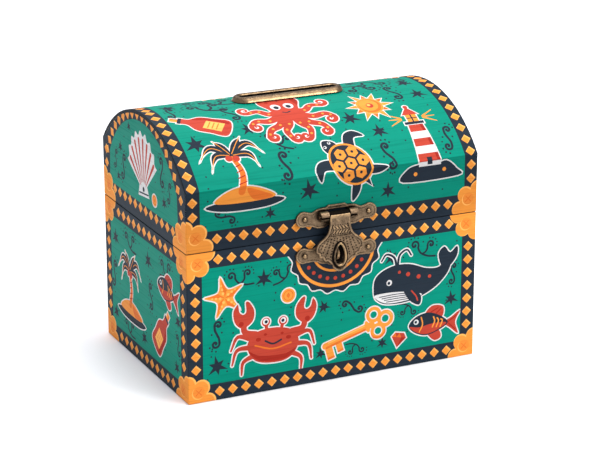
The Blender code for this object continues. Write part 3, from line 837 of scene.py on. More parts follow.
@dataclass(frozen=True)
class AntiqueBronze(Finish):
    """Brass-plated steel, pressed, darkened in a bath and rubbed bright on its high places.

    To the eye it is a dull yellow-brown metal with a soft shine, nearly black in its hollows and
    speckled where the bath bit in.

    Args:
        rubbed: Colour of the metal where it is rubbed through, and of painted highlights on it.
        bright: Colour of its faces.
        dark: Colour that the bath left, and of painted shade on the metal.
        speckle: Size of a speckle in millimetres.
        gloss: Roughness of the rubbed metal.
        dull: Roughness of the darkened metal.
    """

    rubbed: str = "#AA8C66"
    bright: str = "#816B53"
    dark: str = "#14100D"
    speckle: float = 0.55
    gloss: float = 0.3
    dull: float = 0.62

    def make(self, name: str, ink: Ink) -> bpy.types.Material:
        """Makes the metal, which carries no ink."""
        material, tree, shader = new_material(name)
        place = add_node(tree, "TexCoord").outputs["Object"]
        spots = add_node(tree, "TexNoise", {
            "Vector": place, "Scale": 1 / (self.speckle * MM), "Detail": 4.0,
            "Roughness": 0.65}).outputs[0]
        clouds = add_node(tree, "TexNoise", {
            "Vector": place, "Scale": 1 / (6 * self.speckle * MM), "Detail": 2.0})
        bitten = add_node(tree, "MapRange", {
            "Value": spots, "From Min": 0.3, "From Max": 0.7, "To Min": 0.0, "To Max": 0.45},
            clamp=False)
        stain = add_node(tree, "Math", {
            0: clouds.outputs[0], 1: 0.6, 2: bitten.outputs[0]}, operation="MULTIPLY_ADD")
        # The attribute holds each point's relief, which rubs high places bright and darkens low ones; on
        # the flap, the hasp plates and the coin slot's rim it is also shaped or set to paint shade and
        # highlights.
        pressed = add_node(tree, "Attribute", attribute_name="pressed")
        worked = add_node(tree, "MapRange", {
            "Value": pressed.outputs["Fac"], "From Min": -0.4, "From Max": 0.08, "To Min": 1.9,
            "To Max": -0.26})
        # Ambient occlusion darkens the metal within 1.6 mm of other surfaces: patina in its own creases,
        # and painted shade where another part or the board lies close, as under the flap.
        corner = add_node(tree, "AmbientOcclusion", {"Distance": 1.6 * MM}, samples=6)
        shade_and_patina = add_node(tree, "MapRange", {
            "Value": corner.outputs["AO"], "From Min": 0.25, "From Max": 0.85, "To Min": 0.75,
            "To Max": 0.0})
        whole = stain
        for part in (worked, shade_and_patina):
            whole = add_node(tree, "Math", {
                0: whole.outputs[0], 1: part.outputs[0]}, operation="ADD")
        mask = add_node(tree, "MapRange", {
            "Value": whole.outputs[0], "From Min": 0.24, "From Max": 1.1}).outputs[0]
        colour = add_node(tree, "ValToRGB", {"Fac": mask})
        ramp = colour.color_ramp
        ramp.elements[0].color, ramp.elements[1].color = linear(self.rubbed), linear(self.dark)
        ramp.elements.new(0.3).color = linear(self.bright)
        rough = add_node(tree, "MapRange", {
            "Value": mask, "To Min": self.gloss, "To Max": self.dull})
        bump = add_node(tree, "Bump", {
            "Height": spots, "Strength": 0.3, "Distance": 0.04 * MM})
        feed(tree, shader, {
            "Base Color": colour.outputs["Color"], "Roughness": rough.outputs[0],
            "Normal": bump.outputs[0], "Metallic": 1.0})
        return material


PLY = PrintedPlywood()
# The lid's rails are printed darker as painted shade, since they take less light than the walls below them.
PLY_SHADED_RAIL = PrintedPlywood(painted_light=0.74)
BRONZE = AntiqueBronze()


@dataclass(frozen=True)
class Box:
    """The chest's sizes, as its CAD has them, in millimetres.

    Args:
        half_width: Half of its width.
        half_depth: Half of its depth.
        wall: Thickness of the boards.
        wall_top: Height of the walls.
        lid_foot: Height of the lid's lower edge.
        crease: Height at which the rails end and the sheet bends inwards.
        arch_radius: Outer radius of the arch.
        arch_centre: Height of its centre.
        sheet: Thickness of the bent sheet.
        mitre: How much shorter a board's back is at a mitred corner.
    """

    half_width: float = 70.0
    half_depth: float = 48.4
    wall: float = 4.0
    wall_top: float = 67.7
    lid_foot: float = 68.1
    crease: float = 94.8
    arch_radius: float = 62.598
    arch_centre: float = 55.102
    sheet: float = 1.5
    mitre: float = 3.9

    @property
    def rail(self) -> float:
        """Height of the lid's upright rails."""
        return self.crease - self.lid_foot

    @property
    def arc(self) -> float:
        """Length along the sheet from a crease to the crown."""
        return self.arch_radius * math.asin(self.half_depth / self.arch_radius)

    @property
    def crown(self) -> float:
        """The crown's place on the unrolled lid, whose front seam is at zero."""
        return self.rail + self.arc


BOX = Box()
MITRE = Edge(inset=BOX.mitre)
SEAM = Edge(ease=0.35, ink=Ink.NAVY)
RAIL_CREASE = Edge(ease=1.0, turn=19.7, inset=-2.27, ink=Ink.GREEN)
SHEET_CREASE = Edge(ease=1.0, turn=19.7, inset=4.4, ink=Ink.GREEN)
ROLL_END = Edge(ease=0.15, turn=70)
# How far out from the wood the plates' faces lie and the nails' heads sit.
PLATE_FACE = 1.1
NAIL_SEAT = 1.4
# Nails and wire aren't pressed, but are rubbed as bright as a face pressed out this far.
RUBBED = 0.08
FRONT = Matrix(((1, 0, 0, 0), (0, 0, -1, -BOX.half_depth), (0, 1, 0, 0), (0, 0, 0, 1)))
BACK = Matrix(((-1, 0, 0, 0), (0, 0, 1, BOX.half_depth), (0, 1, 0, 0), (0, 0, 0, 1)))
LEFT = Matrix(((0, 0, -1, -BOX.half_width), (-1, 0, 0, 0), (0, 1, 0, 0), (0, 0, 0, 1)))
RIGHT = Matrix(((0, 0, 1, BOX.half_width), (1, 0, 0, 0), (0, 1, 0, 0), (0, 0, 0, 1)))


def shifted(place: Matrix, u: float, v: float, out: float = 0.0) -> Matrix:
    """Moves a board's frame along the board, up it and out of it."""
    return place @ Matrix.Translation(Vector((u, v, out)))


def placed(turn: Matrix, x: float, y: float, z: float) -> Matrix:
    """Gives a board's frame at another place."""
    place = turn.copy()
    place.translation = (x, y, z)
    return place


def diamonds(art: Artwork, places: Iterable[tuple[float, float]], half: float = 2.3) -> None:
    """Prints gold diamonds at their centres, each with a pale upper right edge."""
    for u, v in places:
        rhomb = np.array([(half, 0), (0, half), (-half, 0), (0, -half)])
        art.mark(Ink.PALE, rhomb + (u, v))
        art.mark(Ink.GOLD, rhomb * 0.84 + (u - 0.26, v - 0.26))


def corner_ornament(art: Artwork, u: float, v: float, right: int, up: int,
                    shift: tuple[float, float] = (0.0, 0.0)) -> None:
    """Prints a scalloped gold corner with a crossed disc.

    Args:
        art: The board's artwork.
        u: The corner along the board.
        v: The corner up the board.
        right: 1 if the board runs right from the corner, or -1.
        up: 1 if the board runs up from the corner, or -1.
        shift: How far the lobes and the disc are moved inwards.
    """
    su, sv = shift
    lobes = [(0.0 + su, 9.8 + sv, 3.75), (6.2 + su, 7.4 + sv, 3.9), (9.2 + su, 1.0 + sv, 3.75)]
    fill = np.array([(-3, -3), (9.2 + su, -3), (10.2 + su, 2.5 + sv), (7.6 + su, 5.8 + sv),
                     (4.5 + su, 9.0 + sv), (1.5 + su, 11.0 + sv), (-3, 11.0 + sv)])
    for ink, less, slip in ((Ink.PALE, 0.0, 0.0), (Ink.GOLD, 0.42, 0.3)):
        for x, y, r in lobes:
            art.mark(ink, disc(u + right * x - slip, v + up * y - slip, r - less))
        art.mark(ink, fill * (right, up) + (u - slip, v - slip))
    x, y = u + right * (4.8 + su), v + up * (5.5 + sv)
    art.mark(Ink.PALE, disc(x - 0.35, y - 0.35, 2.85))
    art.mark(Ink.HONEY, disc(x, y, 2.75))
    for turn in (45, 135):
        reach = np.array([math.cos(math.radians(turn)), math.sin(math.radians(turn))]) * 1.8
        art.mark(Ink.AMBER, ribbon(np.linspace((x, y) - reach, (x, y) + reach, 3), 0.5, 0.3))


def row(first: float, pitch: float, count: int) -> np.ndarray:
    """Spaces points evenly from the first one."""
    return first + pitch * np.arange(count)


def centred(pitch: float, count: int) -> np.ndarray:
    """Spaces points evenly about zero."""
    return row(-pitch * (count - 1) / 2, pitch, count)


@dataclass(frozen=True)
class Border:
    """How a wall's border is laid out.

    Args:
        column: Distance of the side diamonds from the middle.
        field_half: Half of the green field's width.
        count: Number of diamonds in a row at the foot or below the seam.
        first: Height of the lowest diamond in the side columns.
        shift: How far the corner ornaments lie further in than on the front.
    """

    column: float
    field_half: float
    count: int
    first: float
    shift: float


@dataclass
class Chest:
    """The chest's four walls and its bottom board.

    Args:
        pitch: Spacing of the diamonds in a row.
        rise: Spacing of the diamonds in a column.
        climb: Number of diamonds in a column.
        rows: Heights of the rows of diamonds.
        green: Foot and top of the green field.
        wide: Border of the front and back walls.
        deep: Border of the side walls.
    """

    pitch: float = 6.2
    rise: float = 6.18
    climb: int = 7
    rows: tuple[float, float] = (4.0, 64.0)
    green: tuple[float, float] = (7.6, 60.4)
    wide: Border = Border(66.2, 63.0, 19, 15.2, 0.0)
    deep: Border = Border(43.9, 40.9, 11, 15.9, 0.9)

    def border(self, art: Artwork, half: float, plan: Border) -> None:
        """Prints the navy border, its diamonds and its corner ornaments.

        Args:
            art: The wall's artwork.
            half: Half of the wall's width.
            plan: How the border is laid out.
        """
        low, high = self.green
        top, far = BOX.wall_top, half + 3.0
        art.mark(Ink.NAVY, box(-far, -3.0, far, low), box(-far, high, far, top + 3.0),
                 box(-far, 0, -plan.field_half, top), box(plan.field_half, 0, far, top))
        climb = row(plan.first, self.rise, self.climb)
        diamonds(art, [(s * plan.column, v) for s in (-1, 1) for v in climb])
        for v in self.rows:
            diamonds(art, [(u + 0.4, v) for u in centred(self.pitch, plan.count)])
        for s in (-1, 1):
            corner_ornament(art, s * half, 0.0, -s, 1, (plan.shift, -0.7))
            corner_ornament(art, s * half, top, -s, -1, (0.3 + plan.shift, -0.8))

    def wall(self, name: str, half: float, place: Matrix, art: Artwork) -> None:
        """Makes a wall with its print, in place of the CAD node of its name."""
        end = half - MITRE.drop
        outline = [(-end, 0.0, SEAM), (end, 0.0, MITRE), (end, BOX.wall_top, SEAM),
                   (-end, BOX.wall_top, MITRE)]
        Blank(outline, BOX.wall, art).solid().piece(
            name + "_board", "chest_body", "printed_plywood", PLY, [name], place)

    def build(self) -> None:
        """Makes the walls and dresses the bottom board."""
        for names, half, places, plan, scene in (
                (("front_wall", "back_wall"), BOX.half_width, (FRONT, BACK), self.wide, front_scene),
                (("left_wall", "right_wall"), BOX.half_depth, (LEFT, RIGHT), self.deep, side_scene)):
            for name, place in zip(names, places):
                art = Artwork()
                scene(art)
                self.border(art, half, plan)
                self.wall(name, half, place, art)
        dress("bottom_panel", PLY.material(Ink.WOOD))


def dress(node: str, material: bpy.types.Material) -> None:
    """Gives a CAD node that stays a new material."""
    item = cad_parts[node]
    for slot in item.material_slots:
        slot.material = material


def rolled_over(normals: np.ndarray, angle: np.ndarray) -> np.ndarray:
    """Turns a sheet's flat normals by how far it has rolled over at each, in radians."""
    s, c = np.sin(angle), np.cos(angle)
    return np.c_[normals[:, 0], normals[:, 1] * c + normals[:, 2] * s,
                 normals[:, 2] * c - normals[:, 1] * s]


@dataclass
class Lid:
    """The lid's rails, its D-shaped ends and the bent sheet over them.

    Args:
        band: Height of the navy band above the seam.
        window_shade: Half of the width and the top of the navy square behind the hasp's window, painted
            shade that keeps the gap behind the flap's roll dark.
        column: Distance of the side diamonds from the middle.
        rail_rows: Heights of the side diamonds on the rails.
        arch_rows: Distances of the side diamonds from the crown, along the arch.
        seam_row: Height of the row of diamonds above the seam, its spacing and their number.
        field_half: Half of the green field's width.
        facet: Width of the strips that the sheet bends in.
        flat: Width of the sheet beside a crease that has no strips.
        worn: Width of the dark line along the sheet's cut edges.
        rail_gap: Gap between the sheet and the rails.
        end_gap: Gap between the sheet and the ends.
    """

    band: float = 8.8
    window_shade: Point = (7.5, 12.3)
    column: float = 66.8
    rail_rows: tuple[float, ...] = (22.1, 15.8)
    arch_rows: tuple[float, ...] = (53.5, 47.5, 41.2, 34.8, 28.6, 22.0, 15.7, 9.0, 2.4)
    seam_row: tuple[float, float, int] = (5.1, 6.18, 19)
    field_half: float = 63.5
    facet: float = 2.5
    flat: float = 4.6
    worn: float = 0.4
    rail_gap: float = 0.05
    end_gap: float = 0.02

    def sheet_art(self) -> Artwork:
        """Draws the print of the lid's front half, unrolled from its seam to its crown."""
        art = Artwork()
        lid_scene(art)
        far, top = BOX.half_width + 10, BOX.crown + 0.5
        art.mark(Ink.NAVY, box(-far, -3, far, self.band))
        for s in (-1, 1):
            art.mark(Ink.NAVY, box(s * self.field_half, -3, s * far, top))
        ups = [*self.rail_rows, *(BOX.crown - a for a in self.arch_rows)]
        diamonds(art, [(s * self.column, v) for s in (-1, 1) for v in ups])
        height, pitch, count = self.seam_row
        diamonds(art, [(u - 0.2, height) for u in centred(pitch, count)])
        for s in (-1, 1):
            corner_ornament(art, s * BOX.half_width, 0.0, -s, 1, (-0.4, 1.0))
            # A near-black strip runs along each cut end of the sheet.
            art.mark(Ink.SOOT, box(s * (BOX.half_width - self.worn), BOX.rail, s * far, top))
        return art

    def rail(self, name: str, place: Matrix) -> None:
        """Makes an upright rail under one edge of the sheet, in place of the CAD node of its name."""
        end, top = BOX.half_width - MITRE.drop, BOX.rail - self.rail_gap
        art = self.sheet_art()
        # Navy behind the hasp plate's window is painted shade, so that the gap there looks dark.
        if place is FRONT:
            half, high = self.window_shade
            art.mark(Ink.NAVY, box(-half, self.band, half, high))
        outline = [(-end, 0.0, SEAM), (end, 0.0, MITRE), (end, top, RAIL_CREASE),
                   (-end, top, MITRE)]
        Blank(outline, BOX.wall, art).solid().piece(
            name + "_board", "lid", "printed_plywood", PLY_SHADED_RAIL, [name],
            shifted(place, 0, BOX.lid_foot))

    def end(self, name: str, place: Matrix) -> None:
        """Makes a D-shaped end, in place of the CAD node of its name."""
        half, shoulder = BOX.half_depth - MITRE.drop, BOX.rail - self.rail_gap
        under = BOX.arch_radius - BOX.sheet - self.end_gap
        centre = BOX.arch_centre - BOX.lid_foot
        reach = math.asin((BOX.half_depth - BOX.wall) / under)
        # The arch's side under the sheet is near-black, like the sheet's cut ends.
        tight = Edge(ease=0.05, ink=Ink.SOOT)
        outline = [(-half, 0.0, SEAM), (half, 0.0, MITRE), (half, shoulder, tight)]
        for angle in np.linspace(reach, -reach, 45):
            outline.append((under * math.sin(angle), centre + under * math.cos(angle), tight))
        outline.append((-half, shoulder, MITRE))
        art = Artwork()
        lid_end_scene(art)
        Blank(outline, BOX.wall, art, ground=Ink.NAVY).solid().piece(
            name + "_board", "lid", "printed_plywood", PLY, [name], shifted(place, 0, BOX.lid_foot))

    def bent(self, points: np.ndarray, normals: np.ndarray) -> tuple[np.ndarray, np.ndarray]:
        """Rolls the flat sheet's points and normals over the arch."""
        angle = (points[:, 1] - BOX.crown) / BOX.arch_radius
        radius = BOX.arch_radius + points[:, 2]
        s, c = np.sin(angle), np.cos(angle)
        turned = np.c_[normals[:, 0], normals[:, 1] * c + normals[:, 2] * s,
                       normals[:, 2] * c - normals[:, 1] * s]
        return np.c_[points[:, 0], radius * s, BOX.arch_centre + radius * c], turned

    def sheet(self) -> None:
        """Makes the bent sheet with the coin slot's hole."""
        half = self.sheet_art()
        art = Artwork(half.shapes + half.turned(0.0, BOX.crown).shapes)
        cut = Edge(ease=0.3, ink=Ink.SOOT)
        low, high = BOX.rail, 2 * BOX.crown - BOX.rail
        count = round((high - low - 2 * self.flat) / self.facet) + 1
        lines = np.linspace(low + self.flat, high - self.flat, count)
        slot = stadium(25.5, 2.6)[::-1] + (0, BOX.crown)
        outline = [(-BOX.half_width, low, SHEET_CREASE), (BOX.half_width, low, cut),
                   (BOX.half_width, high, SHEET_CREASE), (-BOX.half_width, high, cut)]
        Blank(outline, BOX.sheet, art, holes=[(slot, Edge(ease=0.1))],
              creases=[((-75, v), (75, v)) for v in lines], bend=self.bent).solid().piece(
            "lid_sheet", "lid", "printed_plywood", PLY, ["lid_top_panel"])

    def build(self) -> None:
        """Makes the lid's boards."""
        self.rail("lid_front_rail", FRONT)
        self.rail("lid_back_rail", BACK)
        self.end("lid_left_end", LEFT)
        self.end("lid_right_end", RIGHT)
        self.sheet()


def stadium(reach: float, radius: float, steps: int = 12) -> Loop:
    """Draws a slot with round ends, from half of its length and half of its width."""
    angle = np.radians(np.linspace(-90, 90, steps))
    end = np.c_[reach - radius + radius * np.cos(angle), radius * np.sin(angle)]
    return np.concatenate([end, -end])


def arc_points(u: float, v: float, radius: float, first: float, last: float,
               steps: int = 14) -> list[Point]:
    """Lists points along an arc, with its angles in degrees."""
    angle = np.radians(np.linspace(first, last, steps))
    return [(u + radius * math.cos(a), v + radius * math.sin(a)) for a in angle]


def both_halves(half: Sequence[Point]) -> list[Point]:
    """Closes an outline from its right half, which runs up from the foot."""
    return list(half) + [(-u, v) for u, v in reversed(half) if u > 0]


def ring_section(outer: float, inner: float, first: float, last: float) -> list[Point]:
    """Draws sheet rolled round a pin, between two radii and two directions in degrees."""
    return arc_points(0, 0, outer, first, last, 40) + arc_points(0, 0, inner, last, first, 26)


def hill(distance: np.ndarray, height: float, width: float, power: int = 2) -> np.ndarray:
    """Gives a rounded rise of a height where a distance is near zero."""
    return height * np.exp(-np.abs(distance / width) ** power)


def gap_to(loop: np.ndarray, points: np.ndarray) -> np.ndarray:
    """Measures each point's distance to a closed line."""
    along = np.roll(loop, -1, axis=0) - loop
    rest = points[:, None] - loop[None]
    reach = np.clip((rest * along).sum(axis=2) / (along ** 2).sum(axis=1), 0, 1)
    return np.hypot(*(rest - reach[..., None] * along).transpose(2, 0, 1)).min(axis=1)


def nail(name: str, place: Matrix, body: str) -> None:
    """Makes a round-headed nail whose head sits at a place, with its upright axis pointing out."""
    profile = [(0, -4.5), (0.6, -3.9), (0.6, -0.12), (0.84, -0.1), (0.92, 0.0), (0.88, 0.18),
               (0.7, 0.42), (0.42, 0.62), (0.14, 0.7)]
    head = lathe(profile)
    head.pressed[:] = RUBBED
    head.moved(place).piece(name + "_turned", body, "bronze_nails", BRONZE, [name])


def knuckle(section: Iterable[Point], length: float) -> Solid:
    """Makes a length of sheet that is rolled round a pin."""
    return Blank([(u, v, ROLL_END) for u, v in section], length).solid()


def axle(name: str, x: float, y: float, z: float, reach: float, body: str) -> None:
    """Makes a hinge pin that lies along X, with domed ends.

    Args:
        name: The CAD node that it stands for.
        x: Its middle.
        y: Its depth.
        z: Its height.
        reach: Half of its length.
        body: The CAD body that it rides on.
    """
    ends = [(0.1, 0.0), (0.45, 0.07), (0.68, 0.22), (0.75, 0.4)]
    profile = [(r, d - reach) for r, d in ends] + [(r, reach - d) for r, d in reversed(ends)]
    place = Matrix.Translation((x, y, z)) @ Matrix.Rotation(math.pi / 2, 4, "Y")
    lathe(profile, 24).moved(place).piece(name + "_drawn", body, "antique_bronze", BRONZE, [name])


@dataclass
class Hasp:
    """The hasp: two nailed plates, the shell-shaped flap on its axle, and the staple.

    Args:
        pin_y: Depth of the axle.
        pin_z: Height of the axle.
        pin_reach: Half of the axle's length.
        lower_z: Height of the lower plate's nails.
        upper_nail: Height of the upper plate's nails above the axle.
        slot_z: Height of the middle of the flap's hole.
        sheet: Thickness of the plates.
        roll: Outer radius of the rolled knuckles.
        bore: Their inner radius.
        knuckle_length: Their length.
        knuckle_x: Distance of their outer ends from the middle.
        nail_x: Distance of the nails from the middle.
        ear: Distance of the ears' middles from the middle, and their radius.
        flap_face: How far out from the board the flap's face hangs.
        grid: Spacing of the plates' pressed points.
        fine_grid: Spacing of the flap's pressed points.
        rim_waves: Place inside the rim, height and width of each line pressed along it.
        nail_waves: Distance from a nail, height and width of each ring pressed round it.
        worn: How the plates' edges are worn.
    """

    pin_y: float = -51.0
    pin_z: float = 77.0
    pin_reach: float = 9.3
    lower_z: float = 59.75
    upper_nail: float = -0.8
    slot_z: float = 58.9
    sheet: float = 0.8
    roll: float = 2.1
    bore: float = 1.05
    knuckle_length: float = 3.8
    knuckle_x: float = 8.9
    nail_x: float = 15.3
    ear: Point = (15.9, 3.5)
    flap_face: float = 4.7
    grid: float = 0.24
    fine_grid: float = 0.2
    rim_waves: tuple[Wave, ...] = ((0.42, 0.06, 0.2), (0.9, -0.05, 0.18))
    nail_waves: tuple[Wave, ...] = ((0.0, -0.07, 1.6), (2.3, 0.02, 0.3))
    worn: Edge = Edge(ease=0.22, turn=78)

    def plate(self, half: Sequence[Point], nail_v: float, holes: list[tuple[Loop, Edge]],
              shade_dent: tuple[float, float, float, float]) -> Solid:
        """Presses a nailed plate.

        Args:
            half: The right half of its outline, up from the foot.
            nail_v: Height of its nails in its own frame.
            holes: What is cut through it.
            shade_dent: Height of its sunk middle, how far that reaches, how high, and how deep it is; the
                sunk middle comes out dark as painted shade behind the flap and the knuckles.

        Returns:
            The plate.
        """
        outline = both_halves(half)
        rim = np.array(outline)
        edges = [rim] + [loop for loop, _ in holes]
        sunk_v, across, up, depth = shade_dent

        def relief(points: np.ndarray) -> np.ndarray:
            """Raises the rim, dishes the plate round its nails and sinks its middle, which comes out dark
            as painted shade.
            """
            from_edge = np.minimum.reduce([gap_to(loop, points) for loop in edges])
            from_nail = np.hypot(np.abs(points[:, 0]) - self.nail_x, points[:, 1] - nail_v)
            middle = np.hypot(points[:, 0] / across, (points[:, 1] - sunk_v) / up)
            height = hill(middle, -depth, 1.0)
            for distance, waves in ((from_edge, self.rim_waves), (from_nail, self.nail_waves)):
                for place, rise, width in waves:
                    height = height + hill(distance - place, rise, width)
            return height

        return Blank([(u, v, self.worn) for u, v in outline], self.sheet, holes=holes,
                     grid=self.grid, relief=relief).solid()

    def upper(self) -> None:
        """Makes the lid's plate, with its window and its two rolled knuckles."""
        half = [(0.0, -5.0), (4.2, -4.95), (5.4, -5.55), (6.6, -5.7), (8.9, -5.65), (10.4, -5.1),
                (11.8, -4.5), (13.2, -4.25)]
        middle, radius = self.ear
        half += arc_points(middle, self.upper_nail, radius, -108, 108, 26)
        half += [(13.2, 2.0), (11.8, 1.75), (10.4, 2.4), (8.9, 3.05), (7.0, 3.2), (5.5, 3.2),
                 (4.6, 3.75), (4.1, 4.2)]
        window = box(-5.1, -2.5, 5.1, 2.25)[::-1]
        plate = self.plate(half, self.upper_nail, [(window, Edge(ease=0.12, turn=60))],
                           (0, 9.0, 3.4, 0.1))
        whole = plate.moved(shifted(FRONT, 0, self.pin_z, PLATE_FACE))
        section = ring_section(self.roll, self.bore, -150, 178)
        mirrored = [(-u, v) for u, v in reversed(section)]
        for side, turn, shape in ((-1, LEFT, mirrored), (1, RIGHT, section)):
            place = placed(turn, side * self.knuckle_x, self.pin_y, self.pin_z)
            whole = whole + knuckle(shape, self.knuckle_length).moved(place)
        whole.piece("hasp_plate_on_lid", "lid", "antique_bronze", BRONZE, ["hasp_upper_plate"])

    def lower(self) -> None:
        """Makes the chest's plate."""
        half = [(0.0, -6.1), (2.1, -6.05), (3.6, -5.7), (4.3, -4.95), (6.2, -4.9), (8.0, -4.4),
                (9.4, -3.6), (11.3, -3.2), (13.0, -3.3)]
        middle, radius = self.ear
        half += arc_points(middle, 0.0, radius, -112, 112, 26)
        half += [(13.0, 2.75), (11.0, 2.75), (7.7, 3.75), (5.4, 4.2), (3.1, 4.4)]
        plate = self.plate(half, 0.0, [], (-0.8, 4.6, 4.4, 0.24))
        plate.moved(shifted(FRONT, 0, self.lower_z, PLATE_FACE)).piece(
            "hasp_plate_on_chest", "chest_body", "antique_bronze", BRONZE, ["hasp_lower_plate"])

    def staple(self) -> None:
        """Makes the staple, a wire loop through the chest's plate."""
        wire, reach, root, tip = 0.7, 2.2, -45.9, -52.0
        angle = np.linspace(math.pi / 2, -math.pi / 2, 17)
        bend = tip + wire + reach
        line = ([(root, reach), ((root + bend) / 2, reach)]
                + [(bend - reach * math.cos(a), reach * math.sin(a)) for a in angle]
                + [((root + bend) / 2, -reach), (root, -reach)])
        line = np.array([(0.0, y, self.slot_z + z) for y, z in line])
        along = np.gradient(line, axis=0)
        along /= np.linalg.norm(along, axis=1)[:, None]
        side = np.array((1.0, 0.0, 0.0))
        up = np.cross(along, side)
        round_ = np.linspace(0, 2 * math.pi, 16, endpoint=False)[None, :, None]
        grid = line[:, None] + wire * (np.cos(round_) * side + np.sin(round_) * up[:, None])
        loop = skin(grid, (False, True))
        loop.pressed[:] = RUBBED
        loop.piece("staple_wire", "chest_body", "antique_bronze", BRONZE, ["hasp_staple"])

    def flap(self) -> None:
        """Makes the shell-shaped flap, rolled round the axle at its top."""
        shell = [(3.6, -21.8), (4.95, -20.75), (6.0, -19.85), (7.15, -19.9), (7.9, -19.0),
                 (8.3, -18.2), (9.4, -18.05), (10.05, -17.1), (10.2, -16.2), (11.15, -15.7),
                 (11.45, -14.7), (11.35, -13.2), (10.9, -12.1), (9.95, -11.0), (8.85, -10.15),
                 (7.9, -9.45), (6.85, -8.5), (6.1, -7.6), (5.55, -6.5), (5.3, -5.5),
                 (4.98, -4.5), (4.8, -3.4)]
        neck, top = shell[-1][0], 10.1
        lobe = arc_points(0, -21.65, 3.6, -90, -4, 12)
        side = [tuple(p) for p in curve(shell, closed=False, steps=3)]
        outline = both_halves(lobe + side[1:] + [(neck, 0.0), (neck, top)])
        rim = np.array([p for p in outline if p[1] < 0.1])
        reach, peak, narrow = 2.15, 4.5, 0.28
        turn = np.linspace(0, 2 * math.pi, 40, endpoint=False)
        slot = np.c_[reach * np.sin(turn) * (1 - narrow * np.cos(turn)),
                     self.slot_z + 0.5 - self.pin_z + peak * np.cos(turn)]
        slot = anticlockwise(slot)[::-1]

        def relief(points: np.ndarray) -> np.ndarray:
            """Presses the rim, the two braids, the shell's dotted rays, the slot's ring and the roll, with
            painted shade on the ring's left and the roll's front and a painted highlight at the roll's
            foot.
            """
            u, v = points.T
            from_rim, from_slot = gap_to(rim, points), gap_to(slot, points)
            from_rim = np.where(v > -3.2, np.minimum(from_rim, neck - np.abs(u)), from_rim)
            height = hill(from_rim - 0.45, 0.05, 0.25)
            # A stitched groove runs inside the rim.
            stitch = 0.5 + 0.5 * np.cos(np.arctan2(u, -(v + 13.5)) * 62)
            height = height - hill(from_rim - 1.15, 0.13, 0.2) * (0.35 + 0.65 * stitch) * (v < -3.5)
            # Two braids of slanting beads lie between three rows of dots and a plain line.
            for place, slant in ((-5.1, 1.0), (-7.1, -1.0)):
                bead = np.cos((u + slant * 0.7 * (v - place)) * 2 * math.pi / 1.5)
                height = height + hill(v - place, 0.1, 0.62, 4) * bead * (from_rim > 1.3)
            for place in (-4.0, -6.1, -8.1):
                dots = 0.4 + 0.6 * np.cos(u * 2 * math.pi / 1.1)
                height = height - hill(v - place, 0.14, 0.24) * dots * (from_rim > 1.2)
            height = height - hill(v + 8.9 - 0.006 * u ** 2, 0.1, 0.16) * (from_rim > 1.3)
            # The shell's rays spread downwards as rows of dots.
            inner = (from_rim > 1.7) & (from_slot > 1.5)
            pitch = 1.32 - 0.115 * (v + 9.4)
            number = np.round(u / pitch)
            dots = 0.5 + 0.5 * np.cos((v + 0.6 * (number % 2)) * 2 * math.pi / 1.2)
            height = height - (hill(u - number * pitch, 0.19, 0.25) * dots ** 1.2
                               * inner * (v < -9.7))
            # A ring stands round the slot, lower at its left, with a deeper, wider groove there that
            # darkens the left flank as painted shade.
            left = np.clip(0.5 - u / 3, 0, 1)
            ring = hill(from_slot - 0.52, 0.4 - 0.42 * left, 0.42, 4)
            ring = ring - hill(from_slot - 1.25, 0.14 + 0.1 * left, 0.22 + 0.28 * left)
            # A low ridge marks the roll's foot and is rubbed bright as a painted highlight along the flap's
            # top; the roll's front lies lower than the leaf, which darkens it as painted shade.
            roll = hill(v - 0.25, 0.08, 0.35) - np.interp(v, (0.55, 0.95, 6.0, 6.4), (0, 0.3, 0.3, 0))
            return height + ring + roll

        def rolled(points: np.ndarray, normals: np.ndarray) -> tuple[np.ndarray, np.ndarray]:
            """Rolls the flap's top round the axle."""
            angle = np.maximum(points[:, 1], 0) / self.roll
            radius = self.roll + points[:, 2]
            up = np.where(points[:, 1] > 0, radius * np.sin(angle), points[:, 1])
            bent = np.c_[points[:, 0], up, radius * np.cos(angle) - self.roll]
            return bent, rolled_over(normals, angle)

        creases = [((-9.0, v), (9.0, v)) for v in np.arange(0.0, top, 0.42)]
        Blank([(u, v, self.worn) for u, v in outline], self.sheet,
              holes=[(slot, Edge(ease=0.2, turn=60))], creases=creases, grid=self.fine_grid,
              relief=relief, bend=rolled).solid().moved(
            shifted(FRONT, 0, self.pin_z, self.flap_face)).piece(
            "shell_flap", "flap", "antique_bronze", BRONZE, ["hasp_flap"])

    def build(self) -> None:
        """Makes the hasp and its nails."""
        self.upper()
        self.lower()
        self.staple()
        self.flap()
        axle("hasp_pin", 0.0, self.pin_y, self.pin_z, self.pin_reach, "lid")
        for side, word in ((-1, "left"), (1, "right")):
            for part, v, body in (("upper", self.pin_z + self.upper_nail, "lid"),
                                  ("lower", self.lower_z, "chest_body")):
                nail("hasp_nail_%s_%s" % (part, word),
                     shifted(FRONT, side * self.nail_x, v, NAIL_SEAT), body)


